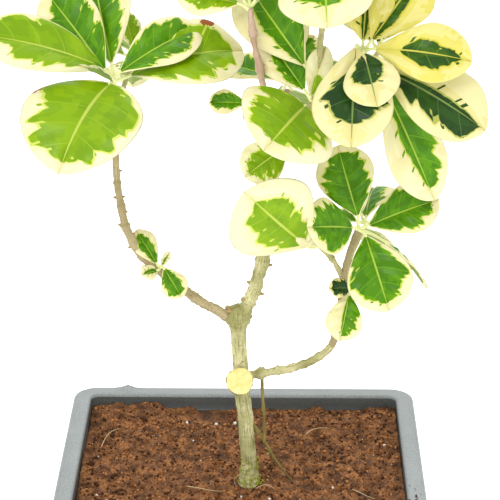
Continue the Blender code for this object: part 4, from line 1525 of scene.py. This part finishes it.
class COPROSMA_OT_stage(bpy.types.Operator):
    """Set the pale floor, the soft lights and the camera"""

    bl_idname = "coprosma.stage"
    bl_label = "Stage"

    def execute(self, context):
        scene = context.scene
        add_floor(scene)
        world = bpy.data.worlds.new("studio")
        world.use_nodes = True
        set_inputs(world.node_tree.nodes["Background"], Color=(1.0, 1.0, 1.0, 1.0), Strength=1.0)
        scene.world = world
        for name, lamp in LAMPS.items():
            add_lamp(scene, name, *lamp)
        data = bpy.data.cameras.new("photo_view")
        data.lens = CAMERA_LENS
        data.sensor_width = CAMERA_SENSOR
        data.clip_start, data.clip_end = CAMERA_CLIP
        camera = bpy.data.objects.new("photo_view", data)
        scene.collection.objects.link(camera)
        camera.location = CAMERA_PLACE
        camera.rotation_euler = (math.radians(90.0 - CAMERA_PITCH), 0.0, math.radians(CAMERA_TURN))
        scene.camera = camera
        scene.view_settings.view_transform = "Standard"
        return {"FINISHED"}


OPERATORS = (
    COPROSMA_OT_finishes,
    COPROSMA_OT_tray,
    COPROSMA_OT_soil,
    COPROSMA_OT_limbs,
    COPROSMA_OT_details,
    COPROSMA_OT_leaves,
    COPROSMA_OT_stage,
)


class COPROSMA_PT_panel(bpy.types.Panel):
    """The buttons that build each piece and the stage"""

    bl_label = "Coprosma"
    bl_idname = "COPROSMA_PT_panel"
    bl_space_type = "VIEW_3D"
    bl_region_type = "UI"
    bl_category = "Coprosma"

    def draw(self, context):
        for operator in OPERATORS:
            self.layout.operator(operator.bl_idname)


SETTINGS = {
    "coprosma_leaf": LeafSettings,
    "coprosma_bark": BarkSettings,
    "coprosma_tray": TraySettings,
    "coprosma_soil": SoilSettings,
}


def register():
    """Adds the settings to the scene, and the operators and the panel."""
    for name, group in SETTINGS.items():
        bpy.utils.register_class(group)
        setattr(bpy.types.Scene, name, bpy.props.PointerProperty(type=group))
    for operator in OPERATORS:
        bpy.utils.register_class(operator)
    bpy.utils.register_class(COPROSMA_PT_panel)


def unregister():
    """Takes away what register added."""
    bpy.utils.unregister_class(COPROSMA_PT_panel)
    for operator in reversed(OPERATORS):
        bpy.utils.unregister_class(operator)
    for name, group in SETTINGS.items():
        delattr(bpy.types.Scene, name)
        bpy.utils.unregister_class(group)


def main():
    """Builds every piece in turn."""
    register()
    bpy.ops.coprosma.finishes()
    bpy.ops.coprosma.tray()
    bpy.ops.coprosma.soil()
    bpy.ops.coprosma.limbs()
    bpy.ops.coprosma.details()
    bpy.ops.coprosma.leaves()
    bpy.ops.coprosma.stage()


if __name__ == "__main__":
    main()
